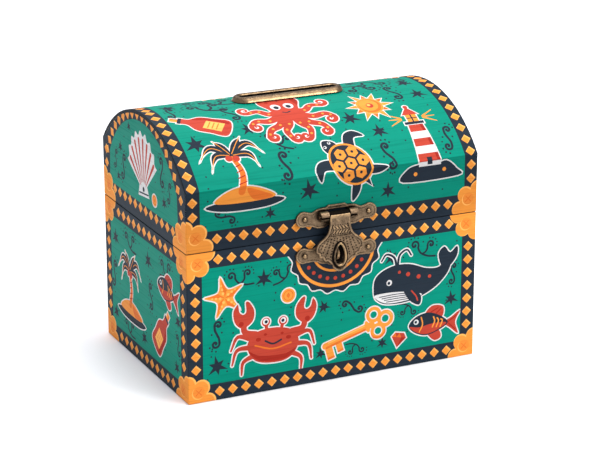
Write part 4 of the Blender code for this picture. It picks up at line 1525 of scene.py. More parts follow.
@dataclass
class CoinSlot:
    """The coin slot's pressed rim.

    Args:
        reach: Half of the slot's length.
        radius: Half of its width.
        steps: Points round each end of the slot.
        section: How far out from the slot and how high each point of the rim's section is.
    """

    reach: float = 23.5
    radius: float = 2.3
    steps: int = 25
    section: tuple[Point, ...] = (
        (0.0, -2.0), (0.0, -1.0), (0.0, 0.9), (0.0, 1.35), (0.03, 1.7), (0.12, 1.95),
        (0.45, 2.33), (0.85, 2.5), (1.35, 2.5), (1.85, 2.38), (2.25, 2.1), (2.6, 1.65),
        (2.92, 1.0), (3.09, 0.55), (3.18, 0.36), (3.2, 0.33), (3.05, 0.3), (0.8, 0.3),
        (0.8, -2.0))

    def build(self) -> None:
        """Makes the rim."""
        line = stadium(self.reach, self.radius, self.steps)
        straight = np.linspace(line[-1], line[0], 12)[1:-1]
        line = np.concatenate([line[:self.steps], -straight, line[self.steps:], straight])
        after, before = np.roll(line, -1, axis=0), np.roll(line, 1, axis=0)
        along = after - before
        along /= np.hypot(*along.T)[:, None]
        away = np.c_[along[:, 1], -along[:, 0]]
        out, up = np.array(self.section).T
        top = BOX.arch_centre + BOX.arch_radius
        grid = np.stack([line[:, None, 0] + away[:, None, 0] * out,
                         line[:, None, 1] + away[:, None, 1] * out,
                         np.broadcast_to(top + up, (len(line), len(out)))], axis=2)
        rim = skin(grid, (True, True))
        # The rim's colour is set along its section: dark down the slot's throat as painted shade, a rubbed
        # line just inside the lip as a painted highlight, a little duller over its top, rubbed along its
        # lower front edge as wear and painted highlight, and dark at its foot as a painted contact shadow.
        worn = np.where(out < 0.5, np.interp(up, (1.35, 1.7, 1.95, 2.33), (-0.4, -0.35, 0.08, -0.04)),
                        np.interp(out, (0.5, 1.3, 2.2, 2.7, 3.18, 3.2),
                                  (-0.04, -0.04, -0.05, 0.08, 0.08, -0.15)))
        rim.pressed[:] = np.tile(worn, len(line))
        rim.piece("coin_slot_rim", "lid", "antique_bronze", BRONZE, ["coin_slot_plate"])


@dataclass
class Hinges:
    """The two butt hinges on the back.

    Args:
        spacing: Distance between their middles.
        pin_y: Depth of their pins.
        pin_z: Height of their pins.
        half: Half of a hinge's width.
        drop: From the pin to the far edge of a leaf.
        corner: Radius of a leaf's far corners.
        sheet: Thickness of a leaf.
        roll: Outer radius of the knuckles.
        bore: Their inner radius.
        middle: Half of the middle knuckle's length.
        play: Gap between knuckles, and between a knuckle and the other leaf.
        neck: Height above the pin at which a leaf meets its knuckles.
        nail_u: Half of the distance between a leaf's nails.
        nail_v: From the pin to the nails.
        grid: Spacing of the leaves' pressed points.
    """

    spacing: float = 76.0
    pin_y: float = 50.6
    pin_z: float = 67.9
    half: float = 9.0
    drop: float = 12.5
    corner: float = 2.0
    sheet: float = 0.8
    roll: float = 1.9
    bore: float = 1.0
    middle: float = 3.2
    play: float = 0.3
    neck: float = 0.6
    nail_u: float = 5.2
    nail_v: float = 8.2
    grid: float = 0.45

    def leaf(self, name: str, x: float, up: int, tongues: Sequence[Point], body: str) -> None:
        """Makes a leaf with its knuckles.

        Args:
            name: The CAD node that it stands for.
            x: The hinge's middle.
            up: 1 for the lid's leaf, or -1 for the chest's.
            tongues: Where the leaf reaches its knuckles, from left to right.
            body: The CAD body that it rides on.
        """
        top, in_u, in_v = self.roll + self.play, self.half - self.corner, self.drop - self.corner
        points = [(self.half, top)]
        points += arc_points(in_u, in_v, self.corner, 0, 90, 8)
        points += arc_points(-in_u, in_v, self.corner, 90, 180, 8)
        points += [(-self.half, top)]
        for first, last in tongues:
            points += [(first, top)] * (first > -self.half) + [(first, self.neck), (last, self.neck)]
            points += [(last, top)] * (last < self.half)
        points = [p for n, p in enumerate(points) if p != points[n - 1]]
        if tongues[-1][1] >= self.half and points[0] == (self.half, top):
            points = points[1:]
        rim = np.array(points)
        nails = np.array([(-self.nail_u, self.nail_v), (self.nail_u, self.nail_v)])

        def relief(spots: np.ndarray) -> np.ndarray:
            """Raises a line inside the edge and dishes the leaf round its nails."""
            edge = gap_to(rim, spots)
            dish = np.minimum(*(np.hypot(*(spots - n).T) for n in nails))
            return hill(edge - 1.0, 0.07, 0.25) - hill(dish, 0.24, 1.7, 4)

        worn = Edge(ease=0.2, turn=78)
        flat = Blank([(u, v, worn) for u, v in points], self.sheet, grid=self.grid,
                     relief=relief).solid()
        place = shifted(BACK, -x, self.pin_z, PLATE_FACE)
        whole = flat.moved(place @ (Matrix.Rotation(math.pi, 4, "Z") if up < 0 else Matrix()))
        section = ring_section(self.roll, self.bore, -170, 160)
        for first, last in tongues:
            where = placed(RIGHT, x + last, self.pin_y, self.pin_z)
            whole = whole + knuckle(section, last - first).moved(where)
        whole.piece(name + "_pressed", body, "antique_bronze", BRONZE, [name])

    def build(self) -> None:
        """Makes both hinges with their pins and nails."""
        outer = self.middle + self.play
        for side, word in ((-1, "left"), (1, "right")):
            x, name = side * self.spacing / 2, "hinge_" + word
            self.leaf(name + "_lid_leaf", x, 1, ((-self.half, -outer), (outer, self.half)), "lid")
            self.leaf(name + "_chest_leaf", x, -1, ((-self.middle, self.middle),), "chest_body")
            axle(name + "_pin", x, self.pin_y, self.pin_z, self.half + 0.4, "chest_body")
            for hand, step in (("a", -self.nail_u), ("b", self.nail_u)):
                for part, up, body in (("lid", 1, "lid"), ("chest", -1, "chest_body")):
                    nail("%s_%s_nail_%s" % (name, part, hand),
                         shifted(BACK, -x - step, self.pin_z + up * self.nail_v, NAIL_SEAT), body)


def both(*loops: Loop) -> list[Loop]:
    """Gives loops together with their mirror images across the upright axis."""
    return [side for loop in loops for side in (np.array(loop, float), np.array(loop) * (-1, 1))]


def crab() -> Artwork:
    """Draws a crab, 42 wide and 28 tall."""
    art = Artwork()
    for hip, knee, foot in (((11, 4), (18, 5.5), (21, -1)), ((11, 0), (18, -1), (20, -8)),
                            ((9, -4), (14.5, -7), (15, -13))):
        art.add(Ink.RED, *both(ribbon(curve([hip, knee, foot], False), 2.7, 0.9)))
    art.add(Ink.RED, *both(ribbon(curve([(9, 6), (14.5, 7.5), (15.5, 13)], False), 3.2, 2.8)))
    claw = [(0, -3), (-4.4, 0), (-5, 5), (-2.4, 9.2), (-0.6, 9.4), (-1, 5), (0.4, 3.6), (2.4, 5),
            (3.4, 8.6), (5.4, 5), (4, -0.6)]
    art.add(Ink.RED, *both(curve(claw) + (15.5, 12.5)))
    art.add(Ink.RED, *both(ribbon([(3.6, 7), (4.2, 11)], 1.7), disc(4.3, 11.6, 2.1)))
    art.add(Ink.RED, curve([(13, 1), (10, 6.2), (4, 8.4), (-4, 8.4), (-10, 6.2), (-13, 1),
                            (-10.5, -5), (-5, -8), (5, -8), (10.5, -5)]))
    art.mark(Ink.WHITE, *both(disc(4.4, 11.8, 1.45)))
    art.mark(Ink.NAVY, *both(disc(4.2, 11.7, 0.8)))
    art.mark(Ink.WINE, curve([(12, -2), (6, -4.6), (-6, -4.6), (-12, -2), (-9.6, -5), (-4.8, -7.3),
                              (4.8, -7.3), (9.6, -5)]))
    art.mark(Ink.WINE, *both(disc(7.6, 3.4, 1.3, 0.9), disc(4.2, 5.6, 0.8, 0.6), disc(16.6, 11.6, 1.2)))
    art.line(Ink.AMBER, [(-9, 0.6), (0, -1.6), (9, 0.6)], 0.8)
    art.line(Ink.NAVY, [(-4, 2.4), (0, 0.8), (4, 2.4)], 0.9)
    return art


def key() -> Artwork:
    """Draws a key, 42 tall, with its bow on top."""
    art = Artwork().add(Ink.GOLD, box(1.0, -20.6, 8.2, -16.4), box(1.0, -14.2, 6.6, -10.6),
                        box(-1.8, -20, 1.8, 10), disc(0, -20, 1.8), disc(0, 16.6, 4.8),
                        *both(disc(4.9, 10.8, 4.5)), disc(0, 5.6, 3.4, 1.4))
    art.mark(Ink.AMBER, box(0.5, -20, 1.8, 4.4), box(6.9, -20.6, 8.2, -16.4),
             box(5.4, -14.2, 6.6, -10.6),
             curve([(9.4, 10.8), (7.8, 14.4), (4.8, 15.3), (7.2, 13.4), (8.2, 10.8), (6.8, 7.6),
                    (4, 6.5), (7.6, 7.0)]))
    art.mark(Ink.WHITE, disc(0, 16.6, 2.6), *both(disc(4.9, 10.8, 2.5)))
    art.mark(Ink.GREEN, disc(0, 16.6, 2.0), *both(disc(4.9, 10.8, 1.9)))
    art.mark(Ink.PALE, box(-1.3, -18, -0.7, 4.2),
             curve([(-4, 17), (-2.4, 20), (0.6, 20.8), (-2.8, 19)]))
    return art


def fish() -> Artwork:
    """Draws a fish, 28 long, that swims to the left."""
    tail = curve([(8, 0.4), (12, 3.4), (16.6, 6.6), (14.4, 0.6), (16.8, -5.6), (12, -2.6)])
    fins = (curve([(-3, 5), (0, 9.6), (6.4, 9), (6, 3.4)]),
            curve([(-1, -4.6), (3.4, -8.6), (7, -7), (5, -3)]))
    body = [(-12, -0.4), (-8.6, 4), (-2, 6.2), (4.6, 4.6), (9.6, 1.6), (9.6, -0.6), (4.6, -3.8),
            (-2, -5.8), (-8.6, -4)]
    art = Artwork().add(Ink.RED, tail, *fins).add(Ink.NAVY, curve(body))
    art.mark(Ink.RED, curve([(-11.4, -1), (-6, -1.4), (2, 0.4), (9.4, 0.4), (4.4, -3.2),
                             (-2, -5.2), (-8.2, -3.6)]))
    for u in (1.6, 3.8, 6.0):
        art.line(Ink.GOLD, [(u, 4.2 - 0.3 * u), (u + 0.9, 1.6), (u, -1.6)], 0.75)
    for line in (((10.4, 0.8), (14.8, 4)), ((10.6, 0), (14.8, -3.4)), ((0, 6.4), (3.6, 8.4)),
                 ((3, 5.6), (5.4, 8))):
        art.mark(Ink.WINE, ribbon(line, 0.6))
    art.line(Ink.GOLD, [(-5.4, 3.8), (-4.2, 0), (-5.6, -3.8)], 0.7)
    art.mark(Ink.WHITE, disc(-8, 1.4, 1.4)).mark(Ink.NAVY, disc(-8.2, 1.4, 0.75))
    return art


def whale() -> Artwork:
    """Draws a whale, 46 long, that swims to the left and blows."""
    art = Artwork()
    for bend in ([(-9, 9), (-10, 14), (-14, 16.4), (-16.8, 13.6)],
                 [(-8.4, 9), (-7, 14.6), (-3, 16.6), (-0.8, 13.4)]):
        art.line(Ink.NAVY, bend, 1.3, 0.8, outer=True)
    art.add(Ink.NAVY, curve([(16, 3), (14, 10.4), (17.4, 13.8), (20.4, 10.2), (24.4, 12.6),
                             (24.2, 8), (20, 3.4)]))
    art.add(Ink.NAVY, curve([(-22, -2), (-20.4, 6), (-12, 9.8), (-2, 9), (7, 5), (14, 4.2),
                             (17.4, 8), (20.6, 5.6), (18, -0.4), (10, -6.4), (-2, -9.8),
                             (-14, -9.2), (-20, -6.4)]))
    art.mark(Ink.WHITE, curve([(-21.5, -3), (-12, -3.4), (-3, -5.2), (4, -8), (-4, -9.2),
                               (-14, -8.7), (-19.4, -6.3)]))
    for n in range(4):
        art.line(Ink.NAVY, [(-19 + 1.2 * n, -4.4 - 1.1 * n), (-10, -4.8 - 1.1 * n),
                            (-2 + 0.6 * n, -6.0 - 0.9 * n)], 0.45)
    art.add(Ink.NAVY, curve([(-6, -3), (0, -4), (3.4, -9), (2, -13), (-3, -9.6)]))
    art.line(Ink.RED, [(-1.6, -5), (0.6, -8), (1.4, -10.6)], 0.7)
    art.mark(Ink.WHITE, disc(-13.4, 1.8, 1.5)).mark(Ink.NAVY, disc(-13.6, 1.6, 0.8))
    art.mark(Ink.RED, disc(-3, 4, 1.1), disc(2.6, 1.6, 1.1), disc(-7.6, 6, 0.8), disc(8.6, 0.4, 0.9))
    return art


def starfish() -> Artwork:
    """Draws a starfish of radius 12."""
    art = Artwork()
    angle = np.radians(90 + 36 * np.arange(10))
    radius = np.where(np.arange(10) % 2, 5.0, 12.0)
    art.add(Ink.GOLD, curve(list(zip(radius * np.cos(angle), radius * np.sin(angle)))))
    for a in angle[::2]:
        arm = np.array([math.cos(a), math.sin(a)])
        side = np.array([-arm[1], arm[0]])
        art.mark(Ink.AMBER, np.array([side * -0.2, arm * 4 - side * 2.2, arm * 10.6, arm * 2]))
        for far, size in ((2.6, 0.75), (5.0, 0.65), (7.2, 0.5)):
            art.mark(Ink.PALE, disc(*(arm * far + side * 0.4), size))
    return art


def gem() -> Artwork:
    """Draws a cut stone, 11 wide."""
    art = Artwork().add(Ink.RED, [(0, -6), (5.6, 1.4), (3.4, 4.6), (-3.4, 4.6), (-5.6, 1.4)])
    art.mark(Ink.WINE, [(0, -6), (5.6, 1.4), (2, 1.4)])
    art.mark(Ink.AMBER, [(-3.4, 4.6), (-1.8, 1.4), (-5.6, 1.4)], [(0, 4.6), (1.8, 1.4), (-1.8, 1.4)])
    return art


def coin() -> Artwork:
    """Draws a coin of radius 4.4."""
    art = Artwork().add(Ink.GOLD, disc(0, 0, 4.4)).mark(Ink.AMBER, disc(0, 0, 3.3))
    art.mark(Ink.GOLD, disc(0, 0, 2.7))
    return art.mark(Ink.AMBER, [(0, 1.9), (1.3, 0), (0, -1.9), (-1.3, 0)])


def spark(size: float) -> Artwork:
    """Draws a navy star with six points, every other one shorter."""
    angle = math.pi / 2 + np.arange(12) * math.pi / 6
    radius = np.array([1.0, 0.35, 0.76, 0.35] * 3) * size
    return Artwork().mark(Ink.NAVY, np.c_[radius * np.cos(angle), radius * np.sin(angle)])


def scroll() -> Artwork:
    """Draws a navy shoot that forks into two curls, 19 long."""
    left, right = spiral(-5.8, 1.4, 2.9, 1.05, -20), spiral(5.8, 2.2, 2.5, -1.05, 200)
    stem = curve([(10, -5.6), (4.6, -5.6), (-0.5, -3.8), (-2.9, -0.9), left[0]], False)
    fork = curve([(0.8, -4.2), (2.8, -2.6), (3.6, -0.6), right[0]], False)
    art = Artwork().mark(Ink.NAVY, ribbon(np.concatenate([stem[:-1], left]), 1.25, 1.5),
                         ribbon(np.concatenate([fork[:-1], right]), 1.25, 1.5))
    for n in range(5):
        a = math.radians(70 + 30 * n)
        art.mark(Ink.NAVY, disc(-5.8 + 4.9 * math.cos(a), 1.4 + 4.9 * math.sin(a), 0.62, steps=8),
                 disc(5.8 - 4.4 * math.cos(a), 2.2 + 4.4 * math.sin(a), 0.58, steps=8))
    return art


def crook() -> Artwork:
    """Draws a navy shoot with one curl at each end, 17 long."""
    low, high = spiral(-1.8, -5.6, 2.6, -1.05, 0), spiral(1.7, 5.6, 2.4, -1.05, 180)
    stem = curve([low[0], (0.9, -2.8), (0, 0), (-0.8, 2.8), high[0]], False)
    art = Artwork().mark(Ink.NAVY, ribbon(np.concatenate([low[::-1], stem[1:-1], high]), 1.45))
    for u, v in ((5.6, 6.6), (4.6, 9.0), (2.2, 10.0), (-5.6, -6.8), (-4.6, -9.2), (-2.2, -10.2),
                 (3.2, 0.4), (-3.2, 0.8)):
        art.mark(Ink.NAVY, disc(u, v, 0.62, steps=8))
    return art


def sun() -> Artwork:
    """Draws a sun of radius 14."""
    art = Artwork()
    for n in range(12):
        a, far = math.radians(30 * n), 14.0 if n % 2 == 0 else 11.4
        ray = [(8 * math.cos(a - 0.2), 8 * math.sin(a - 0.2)), (far * math.cos(a), far * math.sin(a)),
               (8 * math.cos(a + 0.2), 8 * math.sin(a + 0.2))]
        art.add(Ink.AMBER if n % 2 else Ink.GOLD, ray)
    art.add(Ink.GOLD, disc(0, 0, 7.8, steps=36))
    art.mark(Ink.AMBER, disc(0, 0, 6.6, steps=30)).mark(Ink.GOLD, disc(-0.6, 0.6, 5.6, steps=30))
    art.mark(Ink.RED, disc(0, 0, 2.2)).mark(Ink.PALE, disc(-0.5, 0.5, 1.1))
    return art


def lighthouse() -> Artwork:
    """Draws a lighthouse on its rock, 40 tall."""
    art = Artwork()
    art.add(Ink.NAVY, curve([(-13, -20), (-11, -14.6), (-5, -13), (2, -14), (8, -12.6),
                             (13, -16.6), (14, -20)]))
    art.add(Ink.WHITE, [(-5.4, -14), (5.4, -14), (3.4, 8), (-3.4, 8)])
    for v in (-12, -4.4, 3.2):
        wide, top = 5.4 - (v + 14) / 11, v + 3.9
        art.mark(Ink.RED, [(-wide, v), (wide, v), (wide - 0.35, top), (0.35 - wide, top)])
        art.mark(Ink.WINE, [(wide - 1.6, v), (wide, v), (wide - 0.35, top), (wide - 1.9, top)])
    art.add(Ink.GOLD, box(-2.6, 8.6, 2.6, 13.4)).add(Ink.NAVY, box(-4.6, 7.4, 4.6, 8.9))
    art.mark(Ink.NAVY, box(-0.35, 8.9, 0.35, 13.4), box(-2.6, 10.8, 2.6, 11.3))
    art.add(Ink.RED, [(-3.9, 13.2), (3.9, 13.2), (0.6, 17.4), (-0.6, 17.4)], disc(0, 18.2, 1.1))
    for side in (-1, 1):
        for low, high in ((10.2, 9.2), (12, 13), (11.1, 11.1)):
            beam = [(side * 5.4, (low + 11) / 2), (side * 11, high + (high - 11) * 0.8)]
            art.mark(Ink.GOLD, ribbon(beam, 0.9, 0.4))
    art.mark(Ink.NAVY, box(-1.2, -13.4, 1.2, -10)).mark(Ink.GOLD, disc(-7, -17, 0.9), disc(7, -16.4, 0.9))
    return art


def island() -> Artwork:
    """Draws a palm on its island, 34 wide and 34 tall."""
    art = Artwork()
    art.add(Ink.NAVY, curve([(-17, -13), (-9, -11.4), (0, -12.4), (9, -11.4), (17, -13),
                             (9, -15.4), (-8, -15.4)]))
    art.add(Ink.GOLD, curve([(-13, -11.6), (-8, -7.6), (0, -6), (8, -8), (13, -11.6), (0, -12.6)]))
    art.mark(Ink.AMBER, curve([(1, -7), (7, -8.8), (12, -11.4), (4, -12)]))
    art.add(Ink.AMBER, ribbon(curve([(-1.4, -8), (0.6, 0), (-1.6, 8)], False), 3.0, 1.8))
    for v in (-5, -2.4, 0.2, 2.8, 5.2):
        art.mark(Ink.WINE, ribbon([(-1.5 + 0.1 * v, v), (1.1 - 0.05 * v, v + 0.9)], 0.45))
    for tip, knee in (((-16, 6), (-9, 13)), ((-12, 0.6), (-8, 8.6)), ((13, 7), (7, 13.6)),
                      ((9, 1), (6, 8)), ((-7, 17), (-4.6, 13.8)), ((6, 18), (3, 14.4))):
        rib = curve([(-1.4, 8.4), knee, tip], False, 8)
        edge = np.linspace(0, 1, len(rib))
        wide = 2.6 * np.sin(np.clip(edge * 1.15 + 0.08, 0, 1) * math.pi)[:, None]
        along = np.gradient(rib, axis=0)
        side = np.c_[-along[:, 1], along[:, 0]] / np.hypot(*along.T)[:, None] * wide * 0.62
        art.add(Ink.NAVY, np.concatenate([rib + side, (rib - side)[::-1]]))
        art.mark(Ink.GOLD, ribbon(rib[1:-2], 0.35))
    art.add(Ink.RED, disc(-2.8, 7, 1.5), disc(0.2, 6.6, 1.5))
    return art


def bottle() -> Artwork:
    """Draws a corked bottle with a letter, 30 tall."""
    glass = [(-6, -15), (6, -15), (6.6, -6), (6.4, 1), (2.8, 6), (2.3, 11), (-2.3, 11), (-2.8, 6),
             (-6.4, 1), (-6.6, -6)]
    art = Artwork().add(Ink.GOLD, box(-1.7, 10, 1.7, 15.4)).add(Ink.RED, curve(glass))
    art.mark(Ink.WINE, curve([(3.4, -14), (5.6, -13.8), (6, -6), (5.6, 0.6), (2.6, 4.6), (4, -2),
                              (4.2, -8)]))
    art.mark(Ink.PALE, [(-3.8, -11.4), (3.4, -12.4), (3.6, -2.8), (-3.4, -1.8)])
    for v in (-4.4, -6.6, -8.8):
        art.mark(Ink.AMBER, ribbon([(-2.6, v + 0.2), (2.6, v - 0.4)], 0.55))
    art.add(Ink.NAVY, box(-2.9, 9.6, 2.9, 11.4)).mark(Ink.AMBER, box(0.4, 11.6, 1.7, 15.4))
    return art


def turtle() -> Artwork:
    """Draws a turtle seen from above, 34 long, that swims up."""
    art = Artwork()
    art.add(Ink.NAVY, *both(curve([(6, 8), (12, 12.4), (17.6, 10.4), (19, 4.4), (14, 7.4), (8, 3)]),
                            curve([(6, -8), (10.4, -12), (12.6, -15.6), (7.4, -14.6), (3.4, -11)])))
    art.add(Ink.NAVY, curve([(-3.2, 11), (-3.6, 15), (0, 18.4), (3.6, 15), (3.2, 11)]),
            [(-1.4, -12), (1.4, -12), (0, -17)])
    art.add(Ink.GOLD, disc(0, 0, 10.6, 12.8, steps=36)).mark(Ink.NAVY, disc(0, 0, 9.5, 11.7, steps=36))
    for u, v in ((0, 0), (0, 7), (0, -7), (6, 3.5), (6, -3.5), (-6, 3.5), (-6, -3.5)):
        plate = np.array([(math.cos(a), math.sin(a)) for a in np.radians(60 * np.arange(6))])
        art.mark(Ink.GOLD, plate * (3.3, 3.4) + (u, v)).mark(Ink.NAVY, disc(u, v, 0.8, steps=10))
    art.mark(Ink.WHITE, *both(disc(1.9, 15.2, 0.9))).mark(Ink.NAVY, *both(disc(2.0, 15.4, 0.5)))
    return art


def octopus() -> Artwork:
    """Draws an octopus, 50 wide and 40 tall."""
    art = Artwork()
    arms = (([(4, -2), (10, -3), (15, 1), (21, 0)], (21.4, 3.2), 1.1),
            ([(4, -5), (12, -9), (19, -8), (23, -11)], (20.6, -12.6), -1.1),
            ([(3, -6), (8, -13), (14, -16), (17, -21)], (14.4, -21), -1.1),
            ([(1.6, -6), (3, -13), (6.4, -18), (5, -24)], (2.4, -23), -1.1))
    for path, (x, y), turns in arms:
        size = math.hypot(path[-1][0] - x, path[-1][1] - y)
        begin = math.degrees(math.atan2(path[-1][1] - y, path[-1][0] - x))
        line = np.concatenate([curve(path, False)[:-1], spiral(x, y, size, turns, begin)])
        art.add(Ink.RED, *both(ribbon(line, 5.0, 0.7)))
    for path, _, _ in arms:
        line = curve(path, False)
        for n in range(5, len(line), 4):
            art.mark(Ink.GOLD, *both(disc(*line[n], 0.75, steps=10)))
    art.add(Ink.RED, curve([(-6, -4), (-8.4, 2), (-11, 9), (-8, 16), (0, 19), (8, 16), (11, 9),
                            (8.4, 2), (6, -4), (0, -6)]))
    art.mark(Ink.WINE, curve([(8.6, 3), (10.4, 9), (7.6, 15.2), (3, 17.6), (7, 12.6), (7.6, 7)]))
    art.mark(Ink.WINE, disc(-3, 13.6, 1.5, 1.1), disc(1.4, 15, 1.0, 0.8), disc(-6, 9.8, 1.0))
    art.mark(Ink.WHITE, *both(disc(3.6, 3.4, 2.7, 3.1))).mark(Ink.NAVY, *both(disc(3.4, 2.8, 1.4, 1.7)))
    art.line(Ink.NAVY, [(-2, -2.4), (0, -3.2), (2, -2.4)], 0.8)
    return art


def shell() -> Artwork:
    """Draws a scallop shell, 26 wide and 26 tall."""
    art = Artwork()
    foot = [(0.0, -11.0)]
    fan = [(15.4 * math.sin(a) * (1 + 0.05 * math.cos(n * math.pi)) * 0.95,
            -9 + 21 * math.cos(a * 0.86) * (1 + 0.045 * math.cos(n * math.pi)))
           for n, a in enumerate(np.radians(np.linspace(-76, 76, 17)))]
    art.add(Ink.WHITE, [(-5.6, -12.4), (5.6, -12.4), (3.4, -7), (-3.4, -7)])
    art.add(Ink.WHITE, np.concatenate([curve(fan, False, 4), foot]))
    for n, (x, y) in enumerate(fan):
        if n % 2:
            ray = [(x * 0.2, -10 + 0.16 * (y + 10)), (x * 0.92, -10 + (y + 10) * 0.93)]
            art.mark(Ink.RED, ribbon(ray, 0.4, 1.6))
    art.mark(Ink.NAVY, ribbon([(-4.6, -11.2), (4.6, -11.2)], 0.6), disc(0, -9.6, 1.0))
    return art


def lappet() -> Artwork:
    """Draws the navy lappet with gold braid that hangs from the border behind the hasp."""
    art = Artwork()
    edge = [(r * math.cos(a) * 1.12, r * math.sin(a)) for n, a in
            enumerate(np.radians(np.linspace(-180, 0, 19))) for r in (20.0 - 1.5 * (n % 2),)]
    art.add(Ink.NAVY, np.concatenate([[(-22.4, 3)], curve(edge, False, 3), [(22.4, 3)]]))
    for far, wide in ((16.6, 1.4), (9.6, 1.1)):
        bow = [(far * math.cos(a) * 1.12, far * math.sin(a))
               for a in np.radians(np.linspace(-180, 0, 11))]
        art.line(Ink.GOLD, bow, wide)
    for a in np.radians(range(-165, -10, 15)):
        art.mark(Ink.RED, disc(13.2 * math.cos(a) * 1.12, 13.2 * math.sin(a), 0.9, steps=12))
    return art


def scatter(art: Artwork, sparks: Iterable[tuple[float, float, float, float]],
            curls: Iterable[tuple[float, float, float, float, bool]],
            reach: tuple[float, float, float], dots: int) -> None:
    """Fills the gaps between motifs.

    Args:
        art: The board's artwork.
        sparks: Each star's place, size and turn.
        curls: Each curl's place, size and turn, and whether it is a two-armed scroll.
        reach: Half of the width that is strewn with dots, its foot and its top.
        dots: Number of dots.
    """
    half, low, high = reach
    for n in range(dots):
        u, v = half * (1.51 * n % 2 - 1), low + (high - low) * (0.57 * n % 1)
        art.mark(Ink.NAVY, disc(u, v, 0.42, steps=8))
    for u, v, size, turn in sparks:
        art.place(spark(1.1 * size), u, v, turn=turn, key=0)
    for u, v, size, turn, two in curls:
        art.place(scroll() if two else crook(), u, v, abs(size), turn, size < 0, key=0)


def front_scene(art: Artwork) -> None:
    """Draws the sea scene of the front and back walls."""
    scatter(art, ((-56.5, 15.4, 5.0, 10), (-34.2, 52, 4.4, 0), (-5.6, 34.6, 3.4, 20), (27.5, 52.5, 4.0, 12),
                  (58, 28.6, 3.8, 5), (23.4, 13.0, 3.0, 0), (-7, 13, 3.0, 8)),
            ((-24.6, 53.4, -0.62, 15, True), (-45.6, 54.4, 0.66, 0, True), (43, 55, 0.7, -8, True),
             (58.6, 40.4, 0.6, 8, False), (8.4, 32.6, -0.66, 50, False), (-56.4, 30, 0.74, 8, False),
             (36.4, 26.4, 0.5, 172, True), (10.4, 12.4, 0.5, 180, True)), (61, 10, 59), 70)
    art.place(starfish(), -52.6, 46.2, 0.8, 12)
    art.place(crab(), -30, 20.8, 0.95, -4)
    art.place(key(), 11.4, 20.6, 0.84, -74)
    art.place(whale(), 39, 40.0, 0.92, 4)
    art.place(fish(), 47.5, 18.0, 0.9, -6)
    art.place(gem(), 31.6, 13.4, 0.66, -12)
    art.place(coin(), -22.6, 42.6, 0.74)
    art.place(lappet(), 0, 60.4, 1.0)


def side_scene(art: Artwork) -> None:
    """Draws the island scene of the side walls."""
    scatter(art, ((-35, 51, 4.2, 0), (4.6, 52, 4.4, 10), (38, 34.4, 3.6, 0), (-2, 13.4, 3.8, 15),
                  (-36.4, 14.4, 3.8, 0), (36, 12.8, 3.4, 10)),
            ((-17.4, 54.4, 0.74, 0, True), (-37.6, 33, 0.8, 0, False), (25, 54.6, -0.72, 6, True),
             (7, 36, 0.74, 20, False), (-20, 12.6, 0.66, 0, True), (37.8, 23.6, -0.6, 0, False)),
            (39, 10, 59), 40)
    art.place(island(), -17, 31.5, 1.0)
    art.place(fish(), 25.4, 44.4, 0.84, -8)
    art.place(bottle(), 19.5, 24.0, 0.84, -38)


def lid_scene(art: Artwork) -> None:
    """Draws the sky and sea scene of the lid's front half."""
    scatter(art, ((-57.4, 50.4, 5.4, 0), (-12.6, 20.6, 5.0, 10), (57.0, 66.4, 4.4, 5),
                  (25.4, 15.4, 4.0, 0), (17.6, 54.4, 4.6, 8), (-31, 13.0, 3.0, 0),
                  (56.6, 79.4, 4.4, 0), (-30.6, 55.8, 4.2, 15), (27.6, 44.6, 4.2, 0)),
            ((-52, 14.2, 0.62, 75, False), (-21.6, 33.6, 0.85, 10, False), (27.4, 31.6, 0.8, 20, False),
             (58.4, 36.4, 0.76, 0, False), (-42, 79, 0.9, 0, True), (46.6, 70.4, 0.8, 20, False),
             (34.6, 79.4, 0.85, 180, True), (-33.6, 69.4, 0.75, 30, False), (-58.4, 77, 0.7, 0, False),
             (-20.4, 47.4, 0.7, -20, True)), (61, 11, 90), 110)
    art.place(island(), -42.6, 33, 1.08)
    art.place(turtle(), 8.6, 30.4, 0.86, 38)
    art.place(octopus(), -8.6, 67.0, 0.86, 0)
    art.place(lighthouse(), 46, 38.5, 1.02)
    art.place(sun(), 30.6, 61.6, 0.8)
    art.place(bottle(), -50, 64, 0.86, 62)


def lid_end_scene(art: Artwork) -> None:
    """Draws the shell and the border of a lid end."""
    foot, half, field_radius, row_radius, column = 8.3, 40, 45.6, 48.2, 43.7
    angle = np.radians(np.linspace(12, 168, 60))
    arc = np.c_[field_radius * np.cos(angle), field_radius * np.sin(angle)]
    arc = arc[np.abs(arc[:, 0]) < half]
    art.mark(Ink.GREEN, np.concatenate([[(-half, foot), (half, foot)], arc]))
    for theta in range(26, 156, 7):
        c, s = math.cos(math.radians(theta)), math.sin(math.radians(theta))
        if abs(row_radius * c) < half + 3:
            for ink, size, slip in ((Ink.PALE, 1.0, 0.0), (Ink.GOLD, 0.84, 0.2)):
                rhomb = np.array([(2.5, 0), (0, 2.2), (-2.5, 0), (0, -2.2)]) * size
                art.mark(ink, rhomb @ np.array([(c, s), (-s, c)])
                         + (row_radius * c - slip, row_radius * s - slip))
    diamonds(art, [(s * column, v) for s in (-1, 1) for v in (16.1, 22.5)])
    diamonds(art, [(u, 6.1) for u in centred(6.2, 12)])
    for s in (-1, 1):
        corner_ornament(art, s * BOX.half_depth, 0.0, -s, 1, (1.6, 0.4))
    scatter(art, ((-26, 28, 3.0, 0), (25, 16, 3.2, 10), (-15, 40, 2.4, 0), (-29, 13.6, 2.6, 10)),
            ((-22.6, 19.6, 0.75, 0, False), (22.6, 29, -0.8, -10, False), (31, 22, 0.6, 0, False),
             (-32, 21, 0.55, 0, False)), (24, 12, 38), 14)
    art.place(shell(), 0, 26.6, 1.16, 6, key=0.0)
    art.place(coin(), 13.8, 14, 0.6)


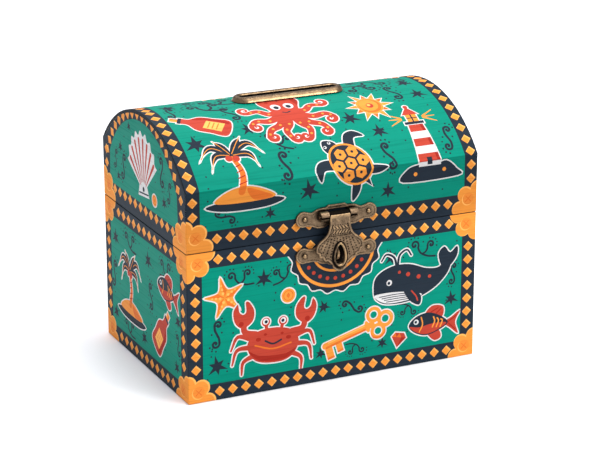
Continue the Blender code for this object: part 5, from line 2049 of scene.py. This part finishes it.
def camera() -> None:
    """Sets the camera at the photograph's angle, in metres, shifted in the photograph's pixels."""
    lens, film, wide, right, up = 132.05, 36, 600, -0.45, -0.1
    place, look = (-0.4030, -0.8573, 0.3671), (0.4087, 0.8561, -0.3161)
    data = bpy.data.cameras.new("view")
    data.lens = lens
    data.shift_x = right / wide
    data.shift_y = up / wide
    data.sensor_width = film
    item = bpy.data.objects.new("view", data)
    item.location = place
    item.rotation_euler = Vector(look).to_track_quat("-Z", "Y").to_euler()
    bpy.context.scene.collection.objects.link(item)
    bpy.context.scene.camera = item


def softbox(name: str, place: Spot, aim: Spot, size: float, power: float) -> None:
    """Adds a square soft lamp.

    Args:
        name: Its name.
        place: Where it stands, in metres.
        aim: What it points at.
        size: Its width in metres.
        power: Its power in watts.
    """
    data = bpy.data.lights.new(name, "AREA")
    data.shape = "SQUARE"
    data.size = size
    data.energy = power
    item = bpy.data.objects.new(name, data)
    item.location = place
    item.rotation_euler = (Vector(aim) - Vector(place)).to_track_quat("-Z", "Y").to_euler()
    item.visible_camera = False
    bpy.context.scene.collection.objects.link(item)


def studio() -> None:
    """Lays the pale floor just under the chest, and sets the lamps and the sky."""
    reach, depth, sky, glow = 6.0, -0.0002, (0.98, 1.0, 1.2, 1), 0.375
    mesh = bpy.data.meshes.new("floor")
    corners = box(-reach, -reach, reach, reach).tolist()
    mesh.from_pydata([(x, y, 0) for x, y in corners], [], [(0, 1, 2, 3)])
    material, tree, shader = new_material("pale_floor")
    feed(tree, shader, {"Base Color": linear("#FBFCFC"), "Roughness": 0.8})
    mesh.materials.append(material)
    floor = bpy.data.objects.new("floor", mesh)
    floor.location.z = depth
    bpy.context.scene.collection.objects.link(floor)
    world = bpy.data.worlds.new("sky")
    world.use_nodes = True
    tree = world.node_tree
    feed(tree, tree.nodes["Background"], {"Color": sky, "Strength": glow})
    bpy.context.scene.world = world
    bpy.context.scene.view_settings.view_transform = "Standard"
    softbox("overhead", (0.3, -0.35, 1.45), (0, 0, 0.05), 1.2, 25)
    softbox("back", (0, 1.5, 1.5), (0, 1.2, 0), 2.0, 30)
    softbox("key", (0.58, -1.05, 0.6), (0, 0, 0.06), 0.22, 4.0)


def main() -> None:
    """Builds the money box piece by piece, then its studio."""
    logging.basicConfig(level=logging.INFO, format="%(message)s")
    for part in (Chest(), Lid(), CoinSlot(), Hasp(), Hinges()):
        part.build()
    studio()
    camera()


if __name__ == "__main__":
    main()
